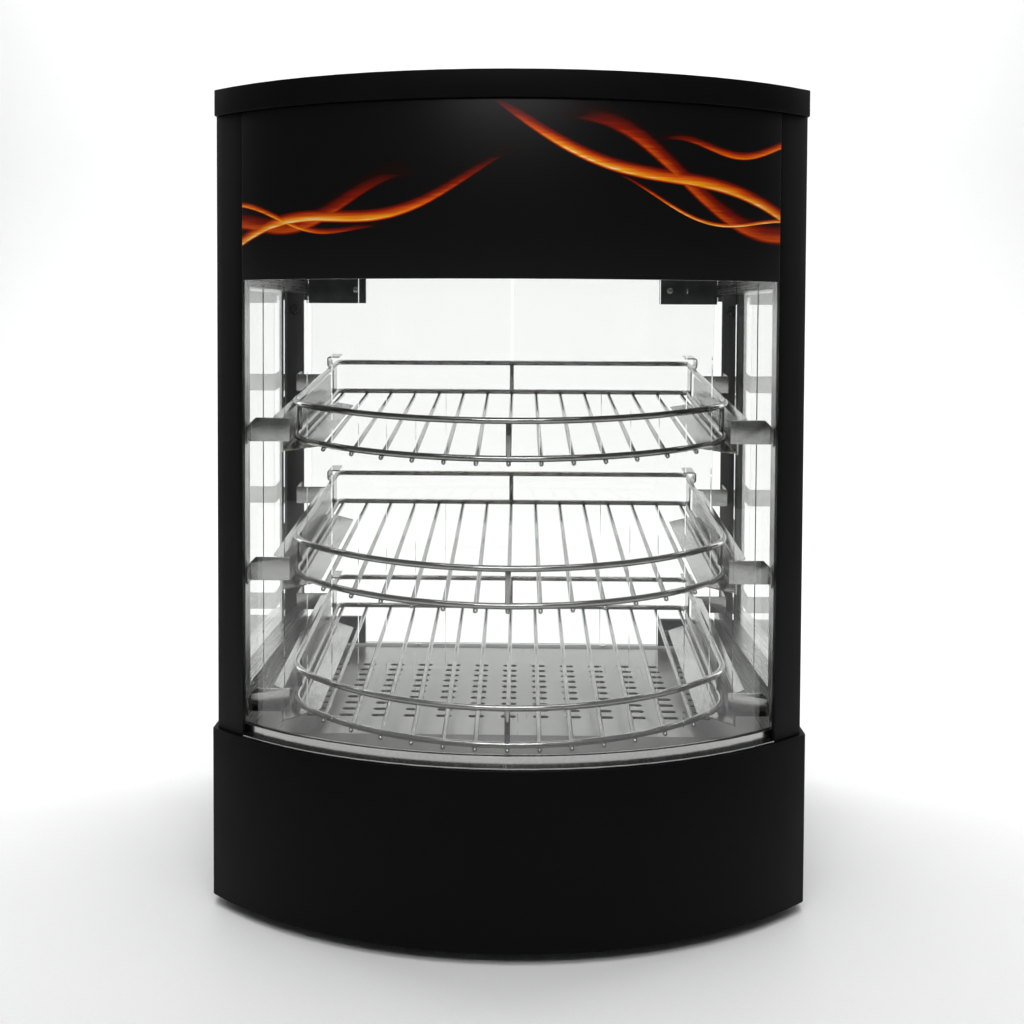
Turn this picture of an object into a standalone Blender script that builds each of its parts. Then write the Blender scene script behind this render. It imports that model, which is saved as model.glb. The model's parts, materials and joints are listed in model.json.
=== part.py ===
"""A countertop pizza warmer: a bowed glass front, rear doors and three wire racks that slope to the front.

Every piece hangs from an empty that stands between the front corners, on the underside of the base.
From there x runs to the right, y is the depth towards the back and z the height. Lengths are in metres.
"""

import math

import bmesh
import bpy
from mathutils import Vector

# Sheet, glass and clearances
SHEET = 0.0012
POST_WALL = 0.0015
GLASS = 0.004
TOUCH_GAP = 0.0003
CUT_OVERRUN = 0.002
WELD_DISTANCE = 0.000002

# The case as a whole
CASE_HALF_WIDTH = 0.233
CASE_DEPTH = 0.345
BASE_BOW = 0.103
BASE_HEIGHT = 0.133
COLUMN_HEIGHT = 0.480
CORNER_RADIUS = 0.005
LIP_RADIUS = 0.0015

# Base: rim, lip and the ledge that carries the floor
RIM_FRONT = 0.017
RIM_REAR = 0.0035
LEDGE_WIDTH = 0.008
FLOOR_DROP = 0.008
REAR_NOTCH_MARGIN = 0.001

# Feet
FOOT_HEIGHT = 0.008
FOOT_RADIUS = 0.014
FOOT_TAPER = 0.002
FOOT_SIDE_INSET = 0.045
FOOT_REAR_INSET = 0.045
FOOT_FRONT_DEPTH = 0.030

# Column posts
COLUMN_SETBACK = 0.003
POST_SIDE_SETBACK = 0.0046
POST_WIDTH = 0.0239
POST_RETURN = 0.012
POST_LAP = 0.010
PILLAR_DEPTH = 0.0265
REAR_POST_SETBACK = 0.0235
REAR_POST_LEG = 0.0475
REAR_POST_WIDTH = 0.0183
SIDE_GLASS_LAP = 0.020
SIDE_GLASS_RISE = 0.006

# Skirts, rails and panels of the column
SKIRT_SETBACK = 0.001
SKIRT_RISE = 0.032
HEADER_HEIGHT = 0.1275
UPPER_RAIL_DROP = 0.0045
CEILING_RISE = 0.0265
CEILING_EDGE_GAP = 0.0003
LIGHT_SIDE_INSET = 0.0845
LIGHT_OPENING_WIDTH = 0.050
LIGHT_OPENING_DEPTH = 0.120

# Glass channel on the rim
CHANNEL_FOOT = 0.0058
CHANNEL_HEIGHT = 0.008
GROOVE_CLEARANCE = 0.0005

# Cap
CAP_SETBACK = 0.003
CAP_FRONT_SETBACK = 0.0003
CAP_HEIGHT = 0.0198
CAP_RETURN = 0.032

# Floor
FLOOR_FRONT_DEPTH = 0.018
SILL_LAP = 0.0025
SLOT_LENGTH = 0.014
SLOT_WIDTH = 0.0075
SLOT_PITCH_X = 0.027
SLOT_PITCH_Y = 0.0195
SLOT_FRONT_MARGIN = 0.0535
SLOT_REAR_MARGIN = 0.068
SLOT_SIDE_MARGIN = 0.035

# Racks
RACK_REAR_CLEARANCE = 0.0035
RACK_FRONT_CLEARANCE = 0.0388
RACK_POST_CLEARANCE = 0.030
RACK_BOW = 0.0916
RACK_TILT = math.radians(4.81)
RACK_FRONT_RADIUS = 0.060
RACK_REAR_RADIUS = 0.008
FENCE_HEIGHT = 0.0287
ROD_RADIUS = 0.0025
WIRE_RADIUS = 0.0019
RACK_POST_RADIUS = 0.0021
CORNER_POST_INSET = 0.031
WELD_SINK = 0.0006
WIRE_PITCH = 0.0243
WIRE_EDGE_GAP = 0.004
WIRE_OVERHANG = 0.0035
HOOK_RISE = 0.010
HOOK_REACH = 0.0058
HOOK_TAB = 0.012
HOOK_WIDTH = 0.025
HOOK_BEND = 0.0025
HOOK_REAR_INSET = 0.006
TOP_RACK_RISE = 0.2505
MIDDLE_RACK_RISE = 0.140
BOTTOM_RACK_RISE = 0.035

# Rack rails
RAIL_SIDE_CLEARANCE = 0.001
RAIL_HEIGHT = 0.0276
RAIL_TOP_FLANGE = 0.009
RAIL_SHELF = 0.0265
RAIL_FRONT_DEPTH = 0.013
RAIL_REAR_SETBACK = 0.0335
RAIL_FRONT_HEIGHT = 0.019
RAIL_STOP_LIP = 0.0052
RAIL_NOTCH = 0.005
RAIL_EAR = 0.012
RAIL_REAR_HEIGHT = 0.0165
RAIL_REAR_LAP = 0.0021

# Rear doors
DOOR_CLEARANCE = 0.0032
DOOR_SIDE_GAP = 0.0066
DOOR_MEETING_GAP = 0.003
DOOR_BOTTOM_GAP = 0.0025
DOOR_TOP_DROP = 0.1155
NOTCH_RADIUS = 0.011
PATCH_PLATE = 0.002
PATCH_LENGTH = 0.0555
PATCH_HEIGHT = 0.0265
HINGE_OFFSET = 0.004
BARREL_RADIUS = 0.0045
BARREL_HEIGHT = 0.012
BARREL_SINK = 0.0017
PIN_RADIUS = 0.0025
PIN_CLEARANCE = 0.0004
LUG_RADIUS = 0.0038
LUG_THICKNESS = 0.004
BRACKET_PLATE = 0.0015
BRACKET_SIDE_INSET = 0.002

# Control panel on the back of the base
PANEL_WIDTH = 0.200
PANEL_HEIGHT = 0.078
PANEL_THICKNESS = 0.0015
PANEL_DROP = 0.071
PANEL_LAP = 0.010
KNOB_OFFSET = -0.058
KNOB_RADIUS = 0.021
KNOB_TOP_RADIUS = 0.0185
KNOB_HEIGHT = 0.017
KNOB_BORE_DEPTH = 0.011
KNOB_POINTER_WIDTH = 0.005
KNOB_POINTER_RISE = 0.002
SHAFT_RADIUS = 0.003
SHAFT_REACH = 0.0095
SHAFT_CLEARANCE = 0.0005
THERMOSTAT_SIDE = 0.036
THERMOSTAT_DEPTH = 0.026
SWITCH_OFFSET = 0.012
SWITCH_PITCH = 0.024
SWITCH_BEZEL_WIDTH = 0.050
SWITCH_BEZEL_HEIGHT = 0.030
SWITCH_BEZEL = 0.002
SWITCH_BODY_INSET = 0.002
SWITCH_BODY_DEPTH = 0.022
ROCKER_WIDTH = 0.017
ROCKER_HEIGHT = 0.021
ROCKER_DEPTH = 0.0065
ROCKER_CLEARANCE = 0.0008
ROCKER_DISH = 0.0018
ROCKER_POCKET = 0.010
LAMP_OFFSET = 0.066
PILOT_RADIUS = 0.0055
PILOT_FLANGE = 0.0075
PILOT_DOME = 0.004
PILOT_RIM = 0.0015
PILOT_DEPTH = 0.014
GLAND_SIDE_INSET = 0.068
GLAND_HEIGHT = 0.030
GLAND_RADIUS = 0.008
GLAND_BORE = 0.0045
GLAND_NUT_RADIUS = 0.0115
GLAND_NUT = 0.006
GLAND_TIP = 0.008

# Heating element
ELEMENT_RADIUS = 0.00325
ELEMENT_SIDE_INSET = 0.113
ELEMENT_FRONT_DEPTH = 0.050
ELEMENT_REAR_SETBACK = 0.0515
ELEMENT_TURN = 0.030
ELEMENT_DROP = 0.040
BRACKET_OVERHANG = 0.020
BRACKET_BAND = 0.020
BRACKET_SETBACK = 0.100
BRACKET_FOOT = 0.015

# Lamp over the ceiling
REFLECTOR_LAP = 0.010
REFLECTOR_HEIGHT = 0.050
LAMP_RADIUS = 0.008
LAMP_RISE = 0.024
SOCKET_RADIUS = 0.011
SOCKET_LENGTH = 0.014

# Fineness of round shapes
BOW_STEPS = 20
POST_STEPS = 4
RACK_BOW_STEPS = 12
FILLET_STEPS = 3
ROUND_SIDES = 20
SMALL_SIDES = 12
ROD_ROUNDNESS = 1
SHARP_ANGLE = math.radians(32)

# Places that follow from the sizes above
BOW_RADIUS = (CASE_HALF_WIDTH**2 + BASE_BOW**2) / (2 * BASE_BOW)
BOW_CENTRE = BOW_RADIUS - BASE_BOW
CAP_LOW = BASE_HEIGHT + COLUMN_HEIGHT
FLOOR_TOP = BASE_HEIGHT - FLOOR_DROP
LEDGE_TOP = FLOOR_TOP - SHEET - TOUCH_GAP
HEADER_LOW = CAP_LOW - HEADER_HEIGHT
CEILING_LOW = HEADER_LOW + CEILING_RISE
SKIRT_TOP = BASE_HEIGHT + SKIRT_RISE

POST_OUTER = CASE_HALF_WIDTH - POST_SIDE_SETBACK
POST_INNER = POST_OUTER - POST_WIDTH
POST_LOW = BASE_HEIGHT + TOUCH_GAP
POST_HIGH = CAP_LOW - TOUCH_GAP
SIDE_GLASS_OUTER = POST_OUTER - POST_WALL - TOUCH_GAP
SIDE_GLASS_INNER = SIDE_GLASS_OUTER - GLASS
SKIRT_INNER = POST_INNER + SKIRT_SETBACK
SKIRT_OUTER = SKIRT_INNER + SHEET
RIM_OPENING = SKIRT_OUTER + TOUCH_GAP
REAR_PLANE = CASE_DEPTH - REAR_POST_SETBACK
REAR_POST_FACE = REAR_PLANE - POST_WALL
REAR_POST_FRONT = REAR_PLANE - REAR_POST_LEG
REAR_POST_INNER = POST_OUTER - REAR_POST_WIDTH
FLOOR_REAR_DEPTH = REAR_PLANE - SILL_LAP
LIGHT_OPENING_LENGTH = 2 * (POST_INNER - LIGHT_SIDE_INSET)

GLASS_SETBACK = COLUMN_SETBACK + CHANNEL_FOOT + SHEET + GROOVE_CLEARANCE
CHANNEL_BACK = GLASS_SETBACK + GLASS + GROOVE_CLEARANCE + SHEET

RACK_REAR_DEPTH = REAR_PLANE - RACK_REAR_CLEARANCE
RACK_FRONT_DEPTH = GLASS_SETBACK + GLASS - BASE_BOW + RACK_FRONT_CLEARANCE
RACK_HALF_WIDTH = POST_INNER - RACK_POST_CLEARANCE
RACK_SIDE_LENGTH = (RACK_REAR_DEPTH - RACK_FRONT_DEPTH) / math.cos(RACK_TILT) - RACK_BOW
RAIL_REAR_DEPTH = REAR_PLANE - RAIL_REAR_SETBACK

PATCH_FRONT = REAR_PLANE + DOOR_CLEARANCE
DOOR_FRONT = PATCH_FRONT + PATCH_PLATE + TOUCH_GAP
DOOR_BACK = DOOR_FRONT + GLASS
PATCH_BACK = DOOR_BACK + TOUCH_GAP + PATCH_PLATE
DOOR_HALF_OPENING = REAR_POST_INNER - DOOR_SIDE_GAP
PATCH_OUTER = DOOR_HALF_OPENING + TOUCH_GAP + PATCH_PLATE
DOOR_LOW = FLOOR_TOP + DOOR_BOTTOM_GAP
DOOR_HIGH = CAP_LOW - DOOR_TOP_DROP
HINGE_X = PATCH_OUTER + HINGE_OFFSET
NOTCH_SIDE = POST_OUTER - REAR_NOTCH_MARGIN
BRACKET_OUTER = NOTCH_SIDE - REAR_NOTCH_MARGIN
HINGE_DEPTH = PATCH_BACK + BARREL_RADIUS - BARREL_SINK

PANEL_BACK = CASE_DEPTH + TOUCH_GAP + PANEL_THICKNESS
PANEL_MID_HEIGHT = BASE_HEIGHT - PANEL_DROP
GLAND_OFFSET = CASE_HALF_WIDTH - GLAND_SIDE_INSET
CASE_REACH = PANEL_BACK + TOUCH_GAP + KNOB_HEIGHT + KNOB_POINTER_RISE
FRONT_CORNER_Y = (BASE_BOW - CASE_REACH) / 2

RACK_RISES = {"top": TOP_RACK_RISE, "middle": MIDDLE_RACK_RISE, "bottom": BOTTOM_RACK_RISE}
SIDES = {"left": -1, "right": 1}

# Colour, roughness and metallic share of each finish
FINISH_SHARES = {
    "black_paint": ((0.010, 0.010, 0.011), 0.42, 0.0),
    "header_print": ((0.012, 0.012, 0.012), 0.30, 0.0),
    "stainless": ((0.42, 0.42, 0.41), 0.32, 1.0),
    "bright_steel": ((0.62, 0.62, 0.61), 0.16, 1.0),
    "dark_steel": ((0.10, 0.10, 0.10), 0.35, 1.0),
    "clear_glass": ((0.92, 0.95, 0.94), 0.02, 0.0),
    "black_plastic": ((0.014, 0.014, 0.015), 0.48, 0.0),
    "red_plastic": ((0.45, 0.02, 0.015), 0.35, 0.0),
    "rubber": ((0.020, 0.020, 0.020), 0.85, 0.0),
    "element_steel": ((0.16, 0.15, 0.14), 0.55, 1.0),
    "lamp_glass": ((0.95, 0.93, 0.88), 0.10, 0.0),
}


def clear_scene():
    for thing in list(bpy.data.objects):
        bpy.data.objects.remove(thing)


def make_finish(name):
    colour, roughness, metallic = FINISH_SHARES[name]
    material = bpy.data.materials.new(name)
    material.use_nodes = True
    shader = material.node_tree.nodes["Principled BSDF"]
    shader.inputs["Base Color"].default_value = (*colour, 1.0)
    shader.inputs["Roughness"].default_value = roughness
    shader.inputs["Metallic"].default_value = metallic
    material.diffuse_color = (*colour, 1.0)
    return material


def add_empty(name, parent=None, location=(0, 0, 0), tilt=0.0):
    empty = bpy.data.objects.new(name, None)
    empty.location = location
    empty.rotation_euler.x = tilt
    empty.parent = parent
    bpy.context.scene.collection.objects.link(empty)
    return empty


def add_piece(name, mesh, finish, parent, location=(0, 0, 0)):
    """One physical piece: its own object, with its origin at the location under its parent."""
    mesh.name = name
    mesh.materials.clear()
    mesh.materials.append(finish)
    mesh.shade_smooth()
    mesh.set_sharp_from_angle(angle=SHARP_ANGLE)
    piece = bpy.data.objects.new(name, mesh)
    piece.location = location
    piece.parent = parent
    bpy.context.scene.collection.objects.link(piece)
    return piece


def finished_mesh(bm):
    """The bmesh as a mesh, welded and with its faces turned out."""
    bmesh.ops.remove_doubles(bm, verts=bm.verts, dist=WELD_DISTANCE)
    bmesh.ops.recalc_face_normals(bm, faces=bm.faces)
    mesh = bpy.data.meshes.new("solid")
    bm.to_mesh(mesh)
    bm.free()
    return mesh


def stacked(rings, closed=False):
    """The surface through rings of equally many points. It ends in flat faces, or meets its own start."""
    bm = bmesh.new()
    rows = [[bm.verts.new(point) for point in ring] for ring in rings]
    pairs = list(zip(rows, rows[1:]))
    if closed:
        pairs.append((rows[-1], rows[0]))
    else:
        bm.faces.new(rows[0])
        bm.faces.new(rows[-1])
    for low, high in pairs:
        for i in range(len(low)):
            bm.faces.new((low[i - 1], low[i], high[i], high[i - 1]))
    return finished_mesh(bm)


def prism(outline, start, end, axis="z"):
    """The outline pushed from start to end along an axis. It is drawn in the other two, in their order."""
    place = {
        "x": lambda a, b, along: (along, a, b),
        "y": lambda a, b, along: (a, along, b),
        "z": lambda a, b, along: (a, b, along),
    }[axis]
    return stacked([[place(a, b, along) for a, b in outline] for along in (start, end)])


def block(x, y, z):
    """A box between two values on each axis."""
    corners = [(x[0], y[0]), (x[1], y[0]), (x[1], y[1]), (x[0], y[1])]
    return prism(corners, z[0], z[1])


def turned(profile, centre, axis="z", sides=ROUND_SIDES, closed=False):
    """A profile of (radius, place along the axis) turned about an axis through the centre."""
    rings = []
    for radius, along in profile:
        ring = []
        for step in range(sides):
            angle = 2 * math.pi * step / sides
            across = radius * math.cos(angle)
            up = radius * math.sin(angle)
            offset = {"x": (along, across, up), "y": (across, along, up), "z": (across, up, along)}[axis]
            ring.append(Vector(centre) + Vector(offset))
        rings.append(ring)
    return stacked(rings, closed)


def evaluated_mesh(thing):
    """The shape of an object after its modifiers, as a mesh of its own. The object is removed."""
    bpy.context.scene.collection.objects.link(thing)
    graph = bpy.context.evaluated_depsgraph_get()
    mesh = bpy.data.meshes.new_from_object(thing.evaluated_get(graph))
    bpy.data.objects.remove(thing)
    return mesh


def rod(points, radius, closed=False):
    """A round rod along a line of points, from a bevelled curve."""
    curve = bpy.data.curves.new("rod", "CURVE")
    curve.dimensions = "3D"
    curve.bevel_depth = radius
    curve.bevel_resolution = ROD_ROUNDNESS
    curve.use_fill_caps = True
    spline = curve.splines.new("POLY")
    spline.points.add(len(points) - 1)
    for point, place in zip(spline.points, points):
        point.co = (*place, 1)
    spline.use_cyclic_u = closed
    bm = bmesh.new()
    bm.from_mesh(evaluated_mesh(bpy.data.objects.new("rod", curve)))
    return finished_mesh(bm)


def boolean(operation, base, others):
    """One exact Boolean of the base mesh with all the others."""
    group = bpy.data.collections.new("operands")
    bpy.context.scene.collection.children.link(group)
    for mesh in others:
        group.objects.link(bpy.data.objects.new("operand", mesh))
    thing = bpy.data.objects.new("base", base)
    step = thing.modifiers.new(operation, "BOOLEAN")
    step.operation = operation
    step.operand_type = "COLLECTION"
    step.collection = group
    step.solver = "EXACT"
    mesh = evaluated_mesh(thing)
    for operand in list(group.objects):
        bpy.data.objects.remove(operand)
    bpy.data.collections.remove(group)
    return mesh


def fused(*solids):
    return boolean("UNION", solids[0], solids[1:])


def cut(base, *cutters):
    return boolean("DIFFERENCE", base, cutters)


def circle_run(radius, centre, start_x, end_x, steps):
    """Points on a circle in plan, on its front half, from one x to another."""
    first = math.asin(start_x / radius)
    last = math.asin(end_x / radius)
    angles = [first + (last - first) * step / steps for step in range(steps + 1)]
    return [(radius * math.sin(angle), centre - radius * math.cos(angle)) for angle in angles]


def bow_run(start_x, end_x, setback=0.0, steps=BOW_STEPS):
    """Points on the front bow of the case, set back from the base's face."""
    return circle_run(BOW_RADIUS - setback, BOW_CENTRE, start_x, end_x, steps)


def bow_depth(x, setback=0.0):
    return bow_run(x, x, setback, 1)[0][1]


def filleted(points, radii, steps=FILLET_STEPS):
    """The outline with some corners rounded. radii holds a radius for each corner's index."""
    outline = []
    for i, point in enumerate(points):
        if i not in radii:
            outline.append(point)
            continue
        here = Vector(point)
        back = (Vector(points[i - 1]) - here).normalized()
        ahead = (Vector(points[(i + 1) % len(points)]) - here).normalized()
        half = back.angle(ahead) / 2
        centre = here + (back + ahead).normalized() * radii[i] / math.sin(half)
        reach = radii[i] / math.tan(half)
        start = here + back * reach - centre
        end = here + ahead * reach - centre
        first = math.atan2(start.y, start.x)
        turn = (math.atan2(end.y, end.x) - first + math.pi) % (2 * math.pi) - math.pi
        for step in range(steps + 1):
            angle = first + turn * step / steps
            outline.append((centre.x + radii[i] * math.cos(angle), centre.y + radii[i] * math.sin(angle)))
    return outline


def case_outline(side, setback, rear, radius):
    """The case in plan: the bow between two sides, and a straight back."""
    points = bow_run(-side, side, setback) + [(side, rear), (-side, rear)]
    return filleted(points, {0: radius, BOW_STEPS: radius, BOW_STEPS + 1: radius, BOW_STEPS + 2: radius})


def raised(outline, height):
    return [(x, y, height) for x, y in outline]


def mirrored(outline, side):
    """A plan outline drawn for the right side, on the side asked for."""
    return [(side * x, y) for x, y in outline]


def bow_sweep(profile, half_width):
    """A section of (setback, height) swept along the front bow between two upright ends."""
    runs = [raised(bow_run(-half_width, half_width, setback), height) for setback, height in profile]
    return stacked([list(section) for section in zip(*runs)])


def band(x, y, z, side):
    """A box drawn for the right side, on the side asked for."""
    return block(sorted(side * value for value in x), y, z)


def make_base_shell(case, finish):
    outer = case_outline(CASE_HALF_WIDTH, 0.0, CASE_DEPTH, CORNER_RADIUS)
    inside = case_outline(CASE_HALF_WIDTH - SHEET, SHEET, CASE_DEPTH - SHEET, CORNER_RADIUS - SHEET)
    opening = case_outline(RIM_OPENING, RIM_FRONT, CASE_DEPTH - RIM_REAR, LIP_RADIUS)
    behind = case_outline(RIM_OPENING + SHEET, RIM_FRONT - SHEET, CASE_DEPTH - RIM_REAR + SHEET, LIP_RADIUS)
    ledge = case_outline(
        RIM_OPENING - LEDGE_WIDTH, RIM_FRONT + LEDGE_WIDTH, CASE_DEPTH - RIM_REAR - LEDGE_WIDTH, LIP_RADIUS
    )
    shell = stacked(
        [
            raised(outer, 0.0),
            raised(outer, BASE_HEIGHT),
            raised(opening, BASE_HEIGHT),
            raised(opening, LEDGE_TOP),
            raised(ledge, LEDGE_TOP),
            raised(ledge, LEDGE_TOP - SHEET),
            raised(behind, LEDGE_TOP - SHEET),
            raised(behind, BASE_HEIGHT - SHEET),
            raised(inside, BASE_HEIGHT - SHEET),
            raised(inside, 0.0),
        ],
        closed=True,
    )
    door_notch = block(
        (-NOTCH_SIDE, NOTCH_SIDE),
        (REAR_PLANE + TOUCH_GAP, CASE_DEPTH + CUT_OVERRUN),
        (LEDGE_TOP, BASE_HEIGHT + CUT_OVERRUN),
    )
    half_window = PANEL_WIDTH / 2 - PANEL_LAP
    half_rise = PANEL_HEIGHT / 2 - PANEL_LAP
    through = (CASE_DEPTH - SHEET - CUT_OVERRUN, CASE_DEPTH + CUT_OVERRUN)
    window = block(
        (-half_window, half_window), through, (PANEL_MID_HEIGHT - half_rise, PANEL_MID_HEIGHT + half_rise)
    )
    hole_radius = GLAND_RADIUS + SHAFT_CLEARANCE
    bore = [(hole_radius, through[0]), (hole_radius, through[1])]
    gland_hole = turned(bore, (GLAND_OFFSET, 0, GLAND_HEIGHT), "y", SMALL_SIDES)
    add_piece("base_shell", cut(shell, door_notch, window, gland_hole), finish["black_paint"], case)


def make_base_pan(case, finish):
    inset = SHEET + TOUCH_GAP
    outline = case_outline(CASE_HALF_WIDTH - inset, inset, CASE_DEPTH - inset, CORNER_RADIUS - inset)
    add_piece("base_pan", prism(outline, 0.0, SHEET), finish["stainless"], case)


def make_feet(case, finish):
    profile = [
        (FOOT_RADIUS - FOOT_TAPER, -FOOT_HEIGHT),
        (FOOT_RADIUS, -FOOT_HEIGHT + FOOT_TAPER),
        (FOOT_RADIUS, -TOUCH_GAP),
    ]
    depths = {"front": FOOT_FRONT_DEPTH, "rear": CASE_DEPTH - FOOT_REAR_INSET}
    for end, depth in depths.items():
        for side, sign in SIDES.items():
            place = (sign * (CASE_HALF_WIDTH - FOOT_SIDE_INSET), depth, 0)
            foot = turned(profile, (0, 0, 0), sides=SMALL_SIDES)
            add_piece(f"foot_{end}_{side}", foot, finish["rubber"], case, place)


def slot_outline(x, depth):
    """A slot in plan with pointed round ends."""
    half = SLOT_LENGTH / 2
    edge = SLOT_WIDTH / 2
    straight = half - edge / 2
    return [
        (x - half, depth),
        (x - straight, depth - edge),
        (x + straight, depth - edge),
        (x + half, depth),
        (x + straight, depth + edge),
        (x - straight, depth + edge),
    ]


def make_floor(case, finish):
    """The perforated plate, the plain segment before it and the sill behind it, all on the ledge."""
    side = RIM_OPENING - TOUCH_GAP
    low = FLOOR_TOP - SHEET
    plate = block((-side, side), (FLOOR_FRONT_DEPTH, FLOOR_REAR_DEPTH), (low, FLOOR_TOP))
    slots = []
    each_way = int((side - SLOT_SIDE_MARGIN) / SLOT_PITCH_X)
    first = FLOOR_FRONT_DEPTH + SLOT_FRONT_MARGIN
    rows = 1 + int((FLOOR_REAR_DEPTH - SLOT_REAR_MARGIN - first) / SLOT_PITCH_Y)
    for column in range(-each_way, each_way + 1):
        x = column * SLOT_PITCH_X
        for row in range(rows):
            depth = first + row * SLOT_PITCH_Y
            slots.append(prism(slot_outline(x, depth), low - CUT_OVERRUN, FLOOR_TOP + CUT_OVERRUN))
    add_piece("floor_plate", cut(plate, *slots), finish["stainless"], case)

    front = bow_run(-side, side, RIM_FRONT + TOUCH_GAP)
    outline = front + [(side, FLOOR_FRONT_DEPTH - TOUCH_GAP), (-side, FLOOR_FRONT_DEPTH - TOUCH_GAP)]
    add_piece("front_sill", prism(outline, low, FLOOR_TOP), finish["stainless"], case)

    wide = NOTCH_SIDE - TOUCH_GAP
    step = REAR_PLANE + 2 * TOUCH_GAP
    half = [(side, FLOOR_REAR_DEPTH + TOUCH_GAP), (side, step), (wide, step), (wide, CASE_DEPTH)]
    outline = half + mirrored(half[::-1], -1)
    add_piece("rear_sill", prism(outline, low, FLOOR_TOP), finish["dark_steel"], case)


def make_glass_channel(case, finish):
    """A folded channel on the rim: a flat foot in front and a groove for the glass."""
    low = BASE_HEIGHT + TOUCH_GAP
    groove_front = COLUMN_SETBACK + CHANNEL_FOOT
    profile = [
        (COLUMN_SETBACK, low),
        (COLUMN_SETBACK, low + SHEET),
        (groove_front, low + SHEET),
        (groove_front, low + CHANNEL_HEIGHT),
        (groove_front + SHEET, low + CHANNEL_HEIGHT),
        (groove_front + SHEET, low + SHEET),
        (CHANNEL_BACK - SHEET, low + SHEET),
        (CHANNEL_BACK - SHEET, low + CHANNEL_HEIGHT),
        (CHANNEL_BACK, low + CHANNEL_HEIGHT),
        (CHANNEL_BACK, low),
    ]
    add_piece("glass_channel", bow_sweep(profile, POST_INNER - TOUCH_GAP), finish["bright_steel"], case)


def make_front_glass(case, finish):
    low = BASE_HEIGHT + TOUCH_GAP + SHEET + TOUCH_GAP
    high = CEILING_LOW - TOUCH_GAP
    back = GLASS_SETBACK + GLASS
    profile = [(GLASS_SETBACK, low), (GLASS_SETBACK, high), (back, high), (back, low)]
    add_piece("front_glass", bow_sweep(profile, POST_INNER - TOUCH_GAP), finish["clear_glass"], case)


def make_header_band(case, finish):
    """The printed band, folded in at its foot towards the glass and at its head under the cap."""
    face = COLUMN_SETBACK
    back = face + POST_WALL
    fold = GLASS_SETBACK - GROOVE_CLEARANCE
    profile = [
        (face, HEADER_LOW),
        (face, POST_HIGH),
        (fold, POST_HIGH),
        (fold, POST_HIGH - POST_WALL),
        (back, POST_HIGH - POST_WALL),
        (back, HEADER_LOW + POST_WALL),
        (fold, HEADER_LOW + POST_WALL),
        (fold, HEADER_LOW),
    ]
    add_piece("header_band", bow_sweep(profile, POST_INNER - TOUCH_GAP), finish["header_print"], case)


def front_post_outline():
    """The right front post in plan: a side leg, a face on the bow and a short return."""
    inner = POST_INNER + POST_WALL
    outer = POST_OUTER - POST_WALL
    return_end = bow_depth(POST_INNER, COLUMN_SETBACK) + POST_RETURN
    side_end = return_end + TOUCH_GAP + PILLAR_DEPTH + POST_LAP
    face = bow_run(POST_OUTER, POST_INNER, COLUMN_SETBACK, POST_STEPS)
    back = bow_run(inner, outer, COLUMN_SETBACK + POST_WALL, POST_STEPS)
    edge = [(POST_INNER, return_end), (inner, return_end)]
    return [(POST_OUTER, side_end), *face, *edge, *back, (outer, side_end)]


def pillar_ends():
    """Where the front pillar starts and ends in depth."""
    front = bow_depth(POST_INNER, COLUMN_SETBACK) + POST_RETURN + TOUCH_GAP
    return front, front + PILLAR_DEPTH


def make_front_posts(case, finish):
    front, back = pillar_ends()
    pillar = [
        (POST_INNER, front),
        (POST_INNER, back),
        (SIDE_GLASS_OUTER, back),
        (SIDE_GLASS_OUTER, back - SHEET),
        (POST_INNER + SHEET, back - SHEET),
        (POST_INNER + SHEET, front),
    ]
    for side, sign in SIDES.items():
        post = prism(mirrored(front_post_outline(), sign), POST_LOW, POST_HIGH)
        add_piece(f"front_post_{side}", post, finish["black_paint"], case)
        inner = prism(mirrored(pillar, sign), POST_LOW, POST_HIGH)
        add_piece(f"front_pillar_{side}", inner, finish["stainless"], case)


def make_rear_posts(case, finish):
    outline = [
        (POST_OUTER, REAR_POST_FRONT),
        (POST_OUTER, REAR_PLANE),
        (REAR_POST_INNER, REAR_PLANE),
        (REAR_POST_INNER, REAR_POST_FACE),
        (POST_OUTER - POST_WALL, REAR_POST_FACE),
        (POST_OUTER - POST_WALL, REAR_POST_FRONT),
    ]
    for side, sign in SIDES.items():
        post = prism(mirrored(outline, sign), POST_LOW, POST_HIGH)
        add_piece(f"rear_post_{side}", post, finish["stainless"], case)


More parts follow.
